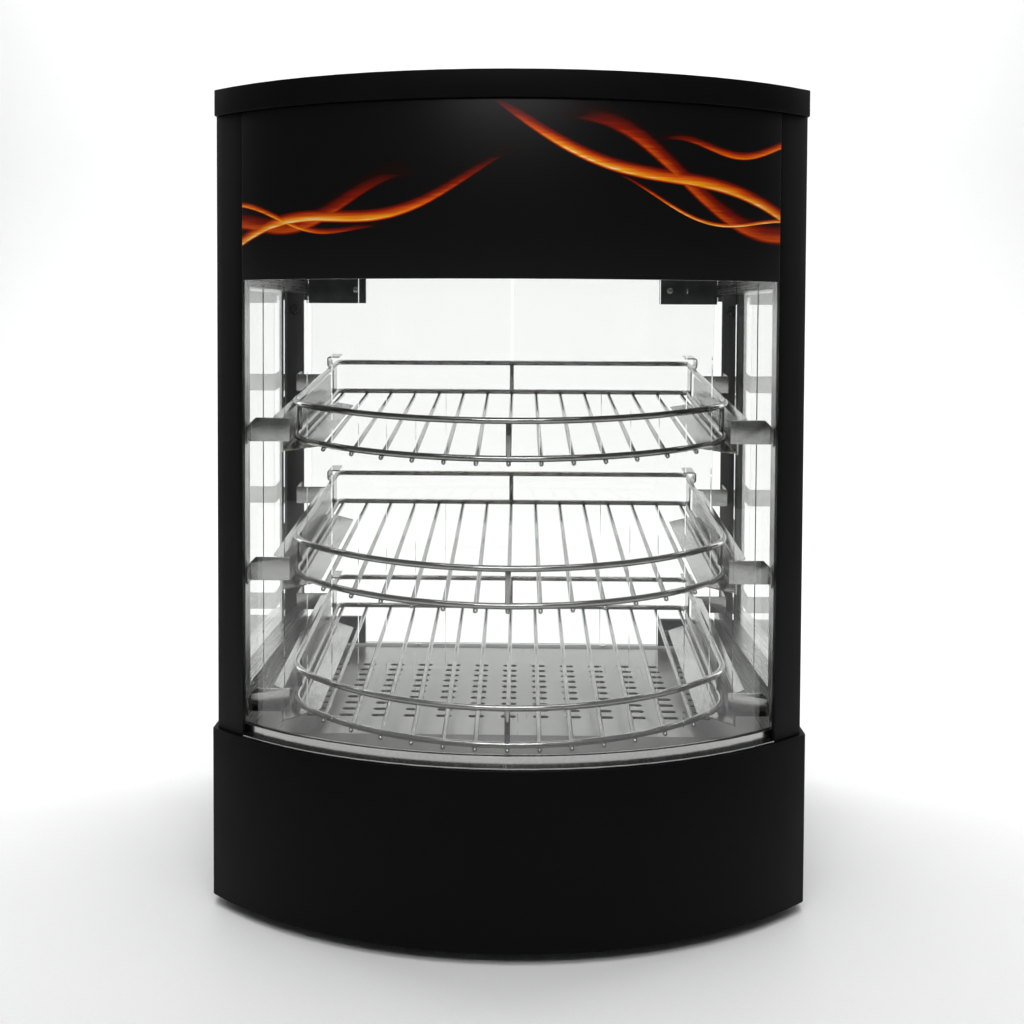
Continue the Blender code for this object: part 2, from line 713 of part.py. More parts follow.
def make_sides(case, finish):
    """Each side's glass, with a skirt below it, a rail above it and a panel over its top edge."""
    start = pillar_ends()[1] + TOUCH_GAP
    end = REAR_POST_FACE - TOUCH_GAP
    flange = SIDE_GLASS_INNER - TOUCH_GAP
    skirt_low = FLOOR_TOP + TOUCH_GAP
    rail_low = HEADER_LOW - UPPER_RAIL_DROP
    rail_high = CEILING_LOW - TOUCH_GAP
    skirt = [
        (SKIRT_INNER, skirt_low),
        (SKIRT_INNER, SKIRT_TOP),
        (flange, SKIRT_TOP),
        (flange, SKIRT_TOP - SHEET),
        (SKIRT_OUTER, SKIRT_TOP - SHEET),
        (SKIRT_OUTER, skirt_low),
    ]
    rail = [
        (SKIRT_INNER, rail_low),
        (SKIRT_INNER, rail_high),
        (SKIRT_OUTER, rail_high),
        (SKIRT_OUTER, rail_low + SHEET),
        (flange, rail_low + SHEET),
        (flange, rail_low),
    ]
    panel_start = start + POST_LAP
    for side, sign in SIDES.items():
        glass = band(
            (SIDE_GLASS_INNER, SIDE_GLASS_OUTER),
            (start, REAR_POST_FRONT + SIDE_GLASS_LAP),
            (POST_LOW, HEADER_LOW + SIDE_GLASS_RISE),
            sign,
        )
        add_piece(f"side_glass_{side}", glass, finish["clear_glass"], case)
        lower = prism(mirrored(skirt, sign), start, end, "y")
        add_piece(f"side_lower_rail_{side}", lower, finish["stainless"], case)
        upper = prism(mirrored(rail, sign), start, end, "y")
        add_piece(f"side_upper_rail_{side}", upper, finish["stainless"], case)
        panel = band(
            (POST_OUTER - SHEET, POST_OUTER),
            (panel_start, REAR_POST_FRONT - TOUCH_GAP),
            (HEADER_LOW, POST_HIGH),
            sign,
        )
        add_piece(f"side_panel_{side}", panel, finish["black_paint"], case)


def make_top(case, finish):
    """The ceiling over the racks, the panel behind it and the cap."""
    narrow = POST_INNER - TOUCH_GAP
    step = pillar_ends()[1] + TOUCH_GAP
    ceiling_back = REAR_POST_FACE - TOUCH_GAP
    front = bow_run(-narrow, narrow, COLUMN_SETBACK + POST_WALL + CEILING_EDGE_GAP)
    right = [(narrow, step), (SKIRT_OUTER, step), (SKIRT_OUTER, ceiling_back)]
    outline = front + right + mirrored(right[::-1], -1)
    ceiling = prism(outline, CEILING_LOW, CEILING_LOW + SHEET)
    half_length = LIGHT_OPENING_LENGTH / 2
    half_width = LIGHT_OPENING_WIDTH / 2
    window = block(
        (-half_length, half_length),
        (LIGHT_OPENING_DEPTH - half_width, LIGHT_OPENING_DEPTH + half_width),
        (CEILING_LOW - CUT_OVERRUN, CEILING_LOW + SHEET + CUT_OVERRUN),
    )
    add_piece("ceiling_panel", cut(ceiling, window), finish["stainless"], case)

    side = REAR_POST_INNER - TOUCH_GAP
    panel = block((-side, side), (REAR_POST_FACE, REAR_POST_FACE + SHEET), (DOOR_HIGH + SHEET, POST_HIGH))
    add_piece("rear_top_panel", panel, finish["stainless"], case)

    width = CASE_HALF_WIDTH - CAP_SETBACK
    rear = CASE_DEPTH - CAP_SETBACK
    high = CAP_LOW + CAP_HEIGHT
    outer = case_outline(width, CAP_FRONT_SETBACK, rear, CORNER_RADIUS)
    inner = case_outline(width - SHEET, CAP_FRONT_SETBACK + SHEET, rear - SHEET, CORNER_RADIUS - SHEET)
    opening = case_outline(width - CAP_RETURN, CAP_RETURN, rear - CAP_RETURN, LIP_RADIUS)
    cap = stacked(
        [
            raised(outer, high),
            raised(outer, CAP_LOW),
            raised(opening, CAP_LOW),
            raised(opening, CAP_LOW + SHEET),
            raised(inner, CAP_LOW + SHEET),
            raised(inner, high - SHEET),
        ]
    )
    add_piece("top_cap", cap, finish["black_paint"], case)


def rack_path():
    """The rack's edge in plan, from its rear corners round the bow. Its rear rod lies on y = 0."""
    radius = (RACK_HALF_WIDTH**2 + RACK_BOW**2) / (2 * RACK_BOW)
    centre = radius - RACK_BOW - RACK_SIDE_LENGTH
    bow = circle_run(radius, centre, -RACK_HALF_WIDTH, RACK_HALF_WIDTH, RACK_BOW_STEPS)
    points = bow + [(RACK_HALF_WIDTH, 0), (-RACK_HALF_WIDTH, 0)]
    last = len(points) - 1
    rounds = {
        0: RACK_FRONT_RADIUS,
        RACK_BOW_STEPS: RACK_FRONT_RADIUS,
        last - 1: RACK_REAR_RADIUS,
        last: RACK_REAR_RADIUS,
    }
    return filleted(points, rounds), radius, centre


def rack_front(x, radius, centre):
    """Where the rack's front is at a place across it: on its bow, or round one of its corners."""
    reach = RACK_HALF_WIDTH - RACK_FRONT_RADIUS
    if abs(x) * (radius - RACK_FRONT_RADIUS) < reach * radius:
        return centre - math.sqrt(radius**2 - x**2)
    corner = centre - math.sqrt((radius - RACK_FRONT_RADIUS) ** 2 - reach**2)
    return corner - math.sqrt(RACK_FRONT_RADIUS**2 - (abs(x) - reach) ** 2)


def hook_outline():
    """The lift hook from the front: up from the lower rod, out at the upper one, and in again over it."""
    inner = RACK_HALF_WIDTH
    outer = RACK_HALF_WIDTH + HOOK_REACH
    top = FENCE_HEIGHT + HOOK_RISE
    return [
        (inner - SHEET / 2, 0),
        (inner + SHEET / 2, 0),
        (inner + SHEET / 2, FENCE_HEIGHT - SHEET / 2),
        (outer - HOOK_BEND, FENCE_HEIGHT - SHEET / 2),
        (outer, FENCE_HEIGHT + HOOK_BEND),
        (outer, top - HOOK_BEND),
        (outer - HOOK_BEND, top),
        (outer - HOOK_TAB, top),
        (outer - HOOK_TAB, top - SHEET),
        (outer - HOOK_BEND - SHEET / 2, top - SHEET),
        (outer - SHEET, top - HOOK_BEND - SHEET / 2),
        (outer - SHEET, FENCE_HEIGHT + HOOK_BEND + SHEET / 2),
        (outer - HOOK_BEND - SHEET / 2, FENCE_HEIGHT + SHEET / 2),
        (inner - SHEET / 2, FENCE_HEIGHT + SHEET / 2),
    ]


def rack_mesh():
    """One rack: two rods round its edge, posts between them, floor wires and two lift hooks."""
    path, radius, centre = rack_path()
    lower = rod(raised(path, 0.0), ROD_RADIUS, closed=True)
    pieces = [rod(raised(path, FENCE_HEIGHT), ROD_RADIUS, closed=True)]
    corner = -RACK_SIDE_LENGTH
    posts = [(0.0, 0.0), (0.0, centre - radius), (-RACK_HALF_WIDTH, corner), (RACK_HALF_WIDTH, corner)]
    for x, y in posts:
        y += CORNER_POST_INSET if y == corner else 0.0
        pieces.append(rod([(x, y, 0.0), (x, y, FENCE_HEIGHT)], RACK_POST_RADIUS))
    wire_height = WELD_SINK - ROD_RADIUS - WIRE_RADIUS
    each_way = int((RACK_HALF_WIDTH - WIRE_EDGE_GAP) / WIRE_PITCH)
    for number in range(-each_way, each_way + 1):
        x = number * WIRE_PITCH
        front = rack_front(x, radius, centre) - WIRE_OVERHANG
        pieces.append(rod([(x, front, wire_height), (x, WIRE_RADIUS, wire_height)], WIRE_RADIUS))
    rear = -HOOK_REAR_INSET - RACK_REAR_RADIUS
    for sign in SIDES.values():
        pieces.append(prism(mirrored(hook_outline(), sign), rear - HOOK_WIDTH, rear, "y"))
    return fused(lower, *pieces)


def make_racks(case, finish):
    """The racks hang from one empty for each level, which tilts them down to the front."""
    mesh = rack_mesh()
    for level, rise in RACK_RISES.items():
        seat = add_empty(f"rack_seat_{level}", case, (0, RACK_REAR_DEPTH, BASE_HEIGHT + rise), RACK_TILT)
        add_piece(f"rack_{level}", mesh.copy(), finish["bright_steel"], seat)
        make_rack_rails(seat, level, finish)


def along_tilt(depth):
    """A depth of the case as a place along a tilted rack, from its rear rod."""
    return (depth - RACK_REAR_DEPTH) / math.cos(RACK_TILT)


def rail_flange(inner, outer, z, front, rear, chamfer_side):
    """A flat flange along the rail with its two free corners cut at 45 degrees."""
    width = outer - inner
    if chamfer_side == "outer":
        outline = [(inner, front), (outer, front + width), (outer, rear - width), (inner, rear)]
    else:
        outline = [(outer, front), (inner, front + width), (inner, rear - width), (outer, rear)]
    return outline, z


def rail_mesh(sign):
    """One rail: a wall, a shelf below, a flange above, and a plate with an ear or a foot at each end."""
    wall = RACK_HALF_WIDTH + ROD_RADIUS + RAIL_SIDE_CLEARANCE
    shelf_top = WELD_SINK - ROD_RADIUS - 2 * WIRE_RADIUS - TOUCH_GAP
    low = shelf_top - SHEET
    high = low + RAIL_HEIGHT
    front = along_tilt(RAIL_FRONT_DEPTH)
    rear = along_tilt(RAIL_REAR_DEPTH)
    ear_outer = POST_INNER - TOUCH_GAP
    foot_outer = REAR_POST_INNER + RAIL_REAR_LAP
    plate_low = high - RAIL_FRONT_HEIGHT
    foot_low = high - RAIL_REAR_HEIGHT
    foot_end = along_tilt(REAR_POST_FACE - TOUCH_GAP) + foot_low * math.tan(RACK_TILT)
    pieces = [band((wall, wall + SHEET), (front - SHEET, rear), (low, high), sign)]
    shelf, z = rail_flange(wall + SHEET - RAIL_SHELF, wall + SHEET, (low, shelf_top), front, rear, "inner")
    pieces.append(prism(mirrored(shelf, sign), *z))
    flange, z = rail_flange(wall, wall + RAIL_TOP_FLANGE, (high - SHEET, high), front - SHEET, rear, "outer")
    pieces.append(prism(mirrored(flange, sign), *z))
    plate = [
        (wall - RAIL_STOP_LIP, plate_low),
        (ear_outer, plate_low),
        (ear_outer, high - RAIL_NOTCH),
        (ear_outer - RAIL_NOTCH, high),
        (wall - RAIL_STOP_LIP, high),
    ]
    pieces.append(prism(mirrored(plate, sign), front - SHEET, front, "y"))
    pieces.append(
        band(
            (ear_outer - SHEET, ear_outer),
            (front - SHEET - RAIL_EAR, front),
            (plate_low, high - RAIL_NOTCH),
            sign,
        )
    )
    pieces.append(band((wall, foot_outer), (rear - SHEET, rear), (foot_low, high), sign))
    pieces.append(band((foot_outer - SHEET, foot_outer), (rear - SHEET, foot_end), (foot_low, high), sign))
    return fused(*pieces)


def make_rack_rails(seat, level, finish):
    for side, sign in SIDES.items():
        add_piece(f"rack_rail_{level}_{side}", rail_mesh(sign), finish["bright_steel"], seat)


def door_mesh(sign):
    """One door's glass about its hinge, with a finger notch half way up its meeting edge."""
    inner = DOOR_MEETING_GAP / 2 - HINGE_X
    outer = DOOR_HALF_OPENING - HINGE_X
    faces = (DOOR_FRONT - HINGE_DEPTH, DOOR_BACK - HINGE_DEPTH)
    glass = band((inner, outer), faces, (DOOR_LOW, DOOR_HIGH), sign)
    through = [
        (NOTCH_RADIUS, DOOR_FRONT - HINGE_DEPTH - CUT_OVERRUN),
        (NOTCH_RADIUS, DOOR_BACK - HINGE_DEPTH + CUT_OVERRUN),
    ]
    notch = turned(through, (sign * inner, 0, (DOOR_LOW + DOOR_HIGH) / 2), "y", SMALL_SIDES)
    return cut(glass, notch)


def patch_mesh(sign, low):
    """A patch plate folded round the door's edge, with a barrel for the hinge pin."""
    inner = DOOR_HALF_OPENING - PATCH_LENGTH - HINGE_X
    outer = PATCH_OUTER - HINGE_X
    front = PATCH_FRONT - HINGE_DEPTH
    back = PATCH_BACK - HINGE_DEPTH
    fold = [
        (inner, front),
        (outer, front),
        (outer, back),
        (inner, back),
        (inner, back - PATCH_PLATE),
        (outer - PATCH_PLATE, back - PATCH_PLATE),
        (outer - PATCH_PLATE, front + PATCH_PLATE),
        (inner, front + PATCH_PLATE),
    ]
    plates = prism(mirrored(fold, sign), low, low + PATCH_HEIGHT)
    barrel_low = low + (PATCH_HEIGHT - BARREL_HEIGHT) / 2
    heights = (barrel_low, barrel_low + BARREL_HEIGHT)
    quarter = PATCH_PLATE / 4
    tongue = band((outer - 2 * quarter, 0.0), (back - 3 * quarter, back - quarter), heights, sign)
    barrel = turned([(BARREL_RADIUS, height) for height in heights], (0, 0, 0), sides=SMALL_SIDES)
    bore = turned(
        [
            (PIN_RADIUS + PIN_CLEARANCE, heights[0] - CUT_OVERRUN),
            (PIN_RADIUS + PIN_CLEARANCE, heights[1] + CUT_OVERRUN),
        ],
        (0, 0, 0),
        sides=SMALL_SIDES,
    )
    return cut(fused(plates, tongue, barrel), bore)


def lug_outline():
    """A lug in plan, from the bracket's plate round the hinge pin. The pin stands at the origin."""
    plate = REAR_PLANE + TOUCH_GAP - HINGE_DEPTH
    start = REAR_POST_INNER + BRACKET_SIDE_INSET - HINGE_X
    round_end = []
    for step in range(SMALL_SIDES // 2 + 1):
        angle = math.pi * step / (SMALL_SIDES // 2)
        round_end.append((LUG_RADIUS * math.cos(angle), LUG_RADIUS * math.sin(angle)))
    return [(start + 2 * LUG_RADIUS, plate), *round_end, (start, plate)]


def bracket_mesh(sign, low):
    """A bracket on the back of the rear post: a plate, two lugs and the pin between them."""
    plate_front = REAR_PLANE + TOUCH_GAP - HINGE_DEPTH
    start = REAR_POST_INNER + BRACKET_SIDE_INSET - HINGE_X
    end = BRACKET_OUTER - HINGE_X
    plate = band((start, end), (plate_front, plate_front + BRACKET_PLATE), (low, low + PATCH_HEIGHT), sign)
    barrel_low = low + (PATCH_HEIGHT - BARREL_HEIGHT) / 2
    lug_lows = (barrel_low - TOUCH_GAP - LUG_THICKNESS, barrel_low + BARREL_HEIGHT + TOUCH_GAP)
    lugs = [prism(mirrored(lug_outline(), sign), height, height + LUG_THICKNESS) for height in lug_lows]
    pin_ends = (lug_lows[0] + LUG_THICKNESS / 2, lug_lows[1] + LUG_THICKNESS / 2)
    pin = turned([(PIN_RADIUS, height) for height in pin_ends], (0, 0, 0), sides=SMALL_SIDES)
    return fused(plate, *lugs, pin)


def make_doors(case, finish):
    """Each door turns about an empty on its hinge axis. Its brackets stay on the post."""
    patch_lows = {"top": DOOR_HIGH - PATCH_HEIGHT, "bottom": DOOR_LOW}
    for side, sign in SIDES.items():
        place = (sign * HINGE_X, HINGE_DEPTH, 0)
        hinge = add_empty(f"door_hinge_{side}", case, place)
        add_piece(f"door_glass_{side}", door_mesh(sign), finish["clear_glass"], hinge)
        for end, low in patch_lows.items():
            add_piece(f"hinge_patch_{end}_{side}", patch_mesh(sign, low), finish["dark_steel"], hinge)
            bracket = bracket_mesh(sign, low)
            add_piece(f"hinge_bracket_{end}_{side}", bracket, finish["bright_steel"], case, place)


def panel_holes():
    """The cutters for the knob's shaft, the switch housing and the pilot lamp."""
    through = (CASE_DEPTH - CUT_OVERRUN, PANEL_BACK + CUT_OVERRUN)
    shaft = SHAFT_RADIUS + SHAFT_CLEARANCE
    lamp = PILOT_RADIUS + SHAFT_CLEARANCE
    half_width = SWITCH_BEZEL_WIDTH / 2 - SWITCH_BODY_INSET + TOUCH_GAP
    half_height = SWITCH_BEZEL_HEIGHT / 2 - SWITCH_BODY_INSET + TOUCH_GAP
    return [
        turned([(shaft, end) for end in through], (KNOB_OFFSET, 0, PANEL_MID_HEIGHT), "y", SMALL_SIDES),
        turned([(lamp, end) for end in through], (LAMP_OFFSET, 0, PANEL_MID_HEIGHT), "y", SMALL_SIDES),
        block(
            (SWITCH_OFFSET - half_width, SWITCH_OFFSET + half_width),
            through,
            (PANEL_MID_HEIGHT - half_height, PANEL_MID_HEIGHT + half_height),
        ),
    ]


def make_control_panel(case, finish):
    half = PANEL_WIDTH / 2
    rise = PANEL_HEIGHT / 2
    plate = block(
        (-half, half),
        (CASE_DEPTH + TOUCH_GAP, PANEL_BACK),
        (PANEL_MID_HEIGHT - rise, PANEL_MID_HEIGHT + rise),
    )
    add_piece("control_panel", cut(plate, *panel_holes()), finish["stainless"], case)


def make_thermostat(case, finish):
    """The thermostat behind the panel, and its knob on the shaft that comes through."""
    half = THERMOSTAT_SIDE / 2
    body_back = CASE_DEPTH
    body = block((-half, half), (body_back - THERMOSTAT_DEPTH, body_back), (-half, half))
    shaft_end = PANEL_BACK + SHAFT_REACH
    length = [(SHAFT_RADIUS, body_back - SHEET), (SHAFT_RADIUS, shaft_end)]
    shaft = turned(length, (0, 0, 0), "y", SMALL_SIDES)
    place = (KNOB_OFFSET, 0, PANEL_MID_HEIGHT)
    add_piece("thermostat_body", fused(body, shaft), finish["black_plastic"], case, place)

    foot = TOUCH_GAP
    bore = SHAFT_RADIUS + SHAFT_CLEARANCE
    profile = [
        (bore, foot),
        (KNOB_RADIUS, foot),
        (KNOB_TOP_RADIUS, KNOB_HEIGHT + foot),
        (0.0, KNOB_HEIGHT + foot),
        (0.0, foot + KNOB_BORE_DEPTH),
        (bore, foot + KNOB_BORE_DEPTH),
    ]
    grip = turned(profile, (0, 0, 0), "y", closed=True)
    half = KNOB_POINTER_WIDTH / 2
    pointer = block(
        (-half, half),
        ((KNOB_BORE_DEPTH + KNOB_HEIGHT) / 2, KNOB_HEIGHT + foot + KNOB_POINTER_RISE),
        (-KNOB_TOP_RADIUS, KNOB_TOP_RADIUS),
    )
    knob_place = (KNOB_OFFSET, PANEL_BACK, PANEL_MID_HEIGHT)
    add_piece("thermostat_knob", fused(grip, pointer), finish["black_plastic"], case, knob_place)


def rocker_mesh():
    """A rocker about its pivot, which lies behind the bezel's face. Its front is dished along its height."""
    half = ROCKER_HEIGHT / 2
    outline = [
        (-ROCKER_DEPTH / 2, -half + ROCKER_CLEARANCE),
        (ROCKER_DEPTH / 2, -half),
        (ROCKER_DEPTH / 2 - ROCKER_DISH, 0.0),
        (ROCKER_DEPTH / 2, half),
        (-ROCKER_DEPTH / 2, half - ROCKER_CLEARANCE),
    ]
    return prism(outline, -ROCKER_WIDTH / 2, ROCKER_WIDTH / 2, "x")


def make_switches(case, finish):
    """One housing with two pockets, and a rocker in each."""
    half_width = SWITCH_BEZEL_WIDTH / 2
    half_height = SWITCH_BEZEL_HEIGHT / 2
    face = PANEL_BACK + TOUCH_GAP + SWITCH_BEZEL
    bezel = block((-half_width, half_width), (face - SWITCH_BEZEL, face), (-half_height, half_height))
    inset = SWITCH_BODY_INSET
    body = block(
        (inset - half_width, half_width - inset),
        (face - SWITCH_BODY_DEPTH, face - SWITCH_BEZEL / 2),
        (inset - half_height, half_height - inset),
    )
    pocket_half = ROCKER_WIDTH / 2 + ROCKER_CLEARANCE
    pocket_rise = ROCKER_HEIGHT / 2 + ROCKER_CLEARANCE
    pockets = []
    for sign in SIDES.values():
        x = sign * SWITCH_PITCH / 2
        across = (x - pocket_half, x + pocket_half)
        into = (face - ROCKER_POCKET, face + CUT_OVERRUN)
        pockets.append(block(across, into, (-pocket_rise, pocket_rise)))
    place = (SWITCH_OFFSET, 0, PANEL_MID_HEIGHT)
    add_piece("switch_housing", cut(fused(bezel, body), *pockets), finish["black_plastic"], case, place)
    names = {"left": ("power_rocker", "red_plastic"), "right": ("light_rocker", "black_plastic")}
    pivot_depth = face - ROCKER_DEPTH / 2 + ROCKER_DISH
    for side, sign in SIDES.items():
        name, colour = names[side]
        pivot = (SWITCH_OFFSET + sign * SWITCH_PITCH / 2, pivot_depth, PANEL_MID_HEIGHT)
        add_piece(name, rocker_mesh(), finish[colour], case, pivot)


def make_pilot_lamp(case, finish):
    face = PANEL_BACK + TOUCH_GAP
    profile = [
        (PILOT_RADIUS, face - PILOT_DEPTH),
        (PILOT_RADIUS, face),
        (PILOT_FLANGE, face),
        (PILOT_FLANGE, face + PILOT_RIM),
        (PILOT_RADIUS, face + PILOT_RIM),
        (PILOT_RADIUS / 2, face + PILOT_RIM + PILOT_DOME),
    ]
    lamp = turned(profile, (0, 0, 0), "y", SMALL_SIDES)
    add_piece("pilot_lamp", lamp, finish["red_plastic"], case, (LAMP_OFFSET, 0, PANEL_MID_HEIGHT))


def make_cable_gland(case, finish):
    """The empty inlet gland: a bored body with a nut on each side of the rear wall."""
    wall_in = CASE_DEPTH - SHEET - TOUCH_GAP
    wall_out = CASE_DEPTH + TOUCH_GAP
    profile = [
        (GLAND_NUT_RADIUS, wall_in - GLAND_NUT),
        (GLAND_NUT_RADIUS, wall_in),
        (GLAND_RADIUS, wall_in),
        (GLAND_RADIUS, wall_out),
        (GLAND_NUT_RADIUS, wall_out),
        (GLAND_NUT_RADIUS, wall_out + GLAND_NUT),
        (GLAND_RADIUS, wall_out + GLAND_NUT + GLAND_TIP),
        (GLAND_BORE, wall_out + GLAND_NUT + GLAND_TIP),
        (GLAND_BORE, wall_in - GLAND_NUT),
    ]
    gland = turned(profile, (0, 0, 0), "y", SMALL_SIDES, closed=True)
    add_piece("cable_gland", gland, finish["black_plastic"], case, (GLAND_OFFSET, 0, GLAND_HEIGHT))


def make_heating_element(case, finish):
    """A rod bent twice under the floor, and the bracket that it lies on."""
    half = CASE_HALF_WIDTH - ELEMENT_SIDE_INSET
    rear = REAR_PLANE - ELEMENT_REAR_SETBACK
    height = FLOOR_TOP - ELEMENT_DROP
    path = [
        (-half / 3, rear),
        (-half, rear),
        (-half, ELEMENT_FRONT_DEPTH),
        (half, ELEMENT_FRONT_DEPTH),
        (half, rear),
        (half / 3, rear),
    ]
    path = filleted(path, {corner: ELEMENT_TURN for corner in range(1, len(path) - 1)})
    element = rod(raised(path, height), ELEMENT_RADIUS)
    add_piece("heating_element", element, finish["element_steel"], case)

    top = height - ELEMENT_RADIUS - TOUCH_GAP
    foot = SHEET + TOUCH_GAP
    end = half + BRACKET_OVERHANG
    right = [
        (end + BRACKET_FOOT, foot),
        (end + BRACKET_FOOT, foot + SHEET),
        (end, foot + SHEET),
        (end, top),
    ]
    under = [
        (end - SHEET, top - SHEET),
        (end - SHEET, foot),
    ]
    outline = right + mirrored(right[::-1], -1) + mirrored(under[::-1], -1) + under
    half_band = BRACKET_BAND / 2
    middle = ELEMENT_FRONT_DEPTH + BRACKET_SETBACK
    bridge = prism(outline, middle - half_band, middle + half_band, "y")
    add_piece("element_bracket", bridge, finish["stainless"], case)


def make_lamp(case, finish):
    """A trough over the light opening, with a socket at each end, and the lamp between them."""
    half_length = LIGHT_OPENING_LENGTH / 2 + REFLECTOR_LAP
    half_width = LIGHT_OPENING_WIDTH / 2 + REFLECTOR_LAP
    low = CEILING_LOW + SHEET + TOUCH_GAP
    high = low + REFLECTOR_HEIGHT
    outer = block((-half_length, half_length), (-half_width, half_width), (low, high))
    hollow = block(
        (SHEET - half_length, half_length - SHEET),
        (SHEET - half_width, half_width - SHEET),
        (low - CUT_OVERRUN, high - SHEET),
    )
    axis = low + LAMP_RISE
    sockets = []
    for sign in SIDES.values():
        ends = sorted((sign * (half_length - SHEET / 2), sign * (half_length - SOCKET_LENGTH)))
        sockets.append(turned([(SOCKET_RADIUS, end) for end in ends], (0, 0, axis), "x", SMALL_SIDES))
    place = (0, LIGHT_OPENING_DEPTH, 0)
    add_piece("lamp_reflector", fused(cut(outer, hollow), *sockets), finish["stainless"], case, place)
    reach = half_length - SOCKET_LENGTH - TOUCH_GAP
    lamp = turned([(LAMP_RADIUS, -reach), (LAMP_RADIUS, reach)], (0, 0, axis), "x", SMALL_SIDES)
    add_piece("lamp", lamp, finish["lamp_glass"], case, place)


def build():
    clear_scene()
    finish = {name: make_finish(name) for name in FINISH_SHARES}
    case = add_empty("case", location=(0, FRONT_CORNER_Y, FOOT_HEIGHT))
    make_base_shell(case, finish)
    make_base_pan(case, finish)
    make_feet(case, finish)
    make_floor(case, finish)
    make_glass_channel(case, finish)
    make_front_glass(case, finish)
    make_header_band(case, finish)
    make_front_posts(case, finish)
    make_rear_posts(case, finish)
    make_sides(case, finish)
    make_top(case, finish)
    make_racks(case, finish)
    make_doors(case, finish)
    make_control_panel(case, finish)
    make_thermostat(case, finish)
    make_switches(case, finish)
    make_pilot_lamp(case, finish)
    make_cable_gland(case, finish)
    make_heating_element(case, finish)
    make_lamp(case, finish)


build()
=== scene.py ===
# %% [markdown]
# # A countertop pizza warmer
# A shop warmer keeps baked pizzas hot and on show. It has a folded black base with the heating rod in it,
# a column of steel posts and glass, three sloping wire racks, and a cap with the lamp under it.
# The solid model is loaded first and stays where it is. This lesson then dresses it: every solid gets the
# finish of its real material, and a few solids are stood for by pieces with more detail.

# %% Load the solid model
import json
import math

import bmesh
import bpy
from mathutils import Matrix, Vector


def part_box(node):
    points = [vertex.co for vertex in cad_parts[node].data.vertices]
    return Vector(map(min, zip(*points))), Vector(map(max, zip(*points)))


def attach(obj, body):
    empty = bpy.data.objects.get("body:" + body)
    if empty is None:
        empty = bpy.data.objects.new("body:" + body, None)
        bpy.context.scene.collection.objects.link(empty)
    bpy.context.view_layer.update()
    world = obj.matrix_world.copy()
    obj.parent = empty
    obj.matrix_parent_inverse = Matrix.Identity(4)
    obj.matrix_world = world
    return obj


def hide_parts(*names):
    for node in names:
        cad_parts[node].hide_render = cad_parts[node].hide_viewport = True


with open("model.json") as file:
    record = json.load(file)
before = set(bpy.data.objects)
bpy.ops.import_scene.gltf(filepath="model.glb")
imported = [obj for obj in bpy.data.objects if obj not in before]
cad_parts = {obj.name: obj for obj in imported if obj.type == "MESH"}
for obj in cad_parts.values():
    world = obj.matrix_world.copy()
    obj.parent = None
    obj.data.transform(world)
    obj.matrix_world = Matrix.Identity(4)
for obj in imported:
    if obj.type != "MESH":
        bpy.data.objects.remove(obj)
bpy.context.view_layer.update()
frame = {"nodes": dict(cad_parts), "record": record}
solids = frame["nodes"]
bodies = frame["record"]["behaviour"]["bodies"]
body_of_solid = {node: body for body, group in bodies.items() for node in group}

# %% [markdown]
# ## Where things are on the case
# A maker measures a case from one corner. Here depths are counted from the front corners of the base
# towards the back, and heights from the underside of the base. The world's origin lies elsewhere, between
# the feet, so one function turns a place on the case into a place in the world.

# %% Places on the case
CASE_DEPTH = 0.345
CORNER_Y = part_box("base_shell")[1].y - CASE_DEPTH
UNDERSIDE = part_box("base_shell")[0].z
SIDES = {"left": -1, "right": 1}


def case_point(x, depth, height):
    """A place on the case, in the world's metres."""
    return Vector((x, CORNER_Y + depth, UNDERSIDE + height))


print("front corners at y =", round(CORNER_Y, 4), "and the underside at z =", round(UNDERSIDE, 4))

# %% [markdown]
# ## The camera
# The picture was taken from straight ahead, a little over a metre from the front corners and level with
# the middle rack. The camera barely leans, so upright posts stay upright, and the lens is shifted down
# instead, as an architect's camera does it, to bring the base into the frame.

# %% Set up the camera
EYE = case_point(0.0087, -1.1280, 0.4594)
YAW = -0.0238
PITCH = -0.0395
ROLL = 0.0043
LENS_MM = 50.98
SENSOR_MM = 36.0
SHIFT = (0.0252, -0.1361)

ahead = Vector((math.sin(YAW) * math.cos(PITCH), math.cos(YAW) * math.cos(PITCH), math.sin(PITCH)))
level = Vector((math.cos(YAW), -math.sin(YAW), 0.0))
upright = level.cross(ahead)
across = level * math.cos(ROLL) + upright * math.sin(ROLL)
upward = upright * math.cos(ROLL) - level * math.sin(ROLL)

camera = bpy.data.objects.new("counter_view", bpy.data.cameras.new("counter_view"))
camera.data.lens = LENS_MM
camera.data.sensor_width = SENSOR_MM
camera.data.shift_x, camera.data.shift_y = SHIFT
camera.matrix_world = Matrix.Translation(EYE) @ Matrix((across, upward, -ahead)).transposed().to_4x4()
bpy.context.scene.collection.objects.link(camera)
bpy.context.scene.camera = camera
print("camera at", [round(value, 3) for value in EYE])

# %% [markdown]
# ## Colours and nodes
# Colours are picked as sRGB hex values, as a paint chart gives them, and the renderer wants linear light,
# so one function converts them. A finish is a small network of nodes: one function adds a node, sets it
# and links it, which keeps each finish short enough to read.

# %% Helpers for finishes
def linear(code):
    """An sRGB hex value as linear red, green, blue and an alpha of one."""
    channels = []
    for start in (1, 3, 5):
        share = int(code[start : start + 2], 16) / 255
        channels.append(share / 12.92 if share <= 0.04045 else ((share + 0.055) / 1.055) ** 2.4)
    return (*channels, 1.0)


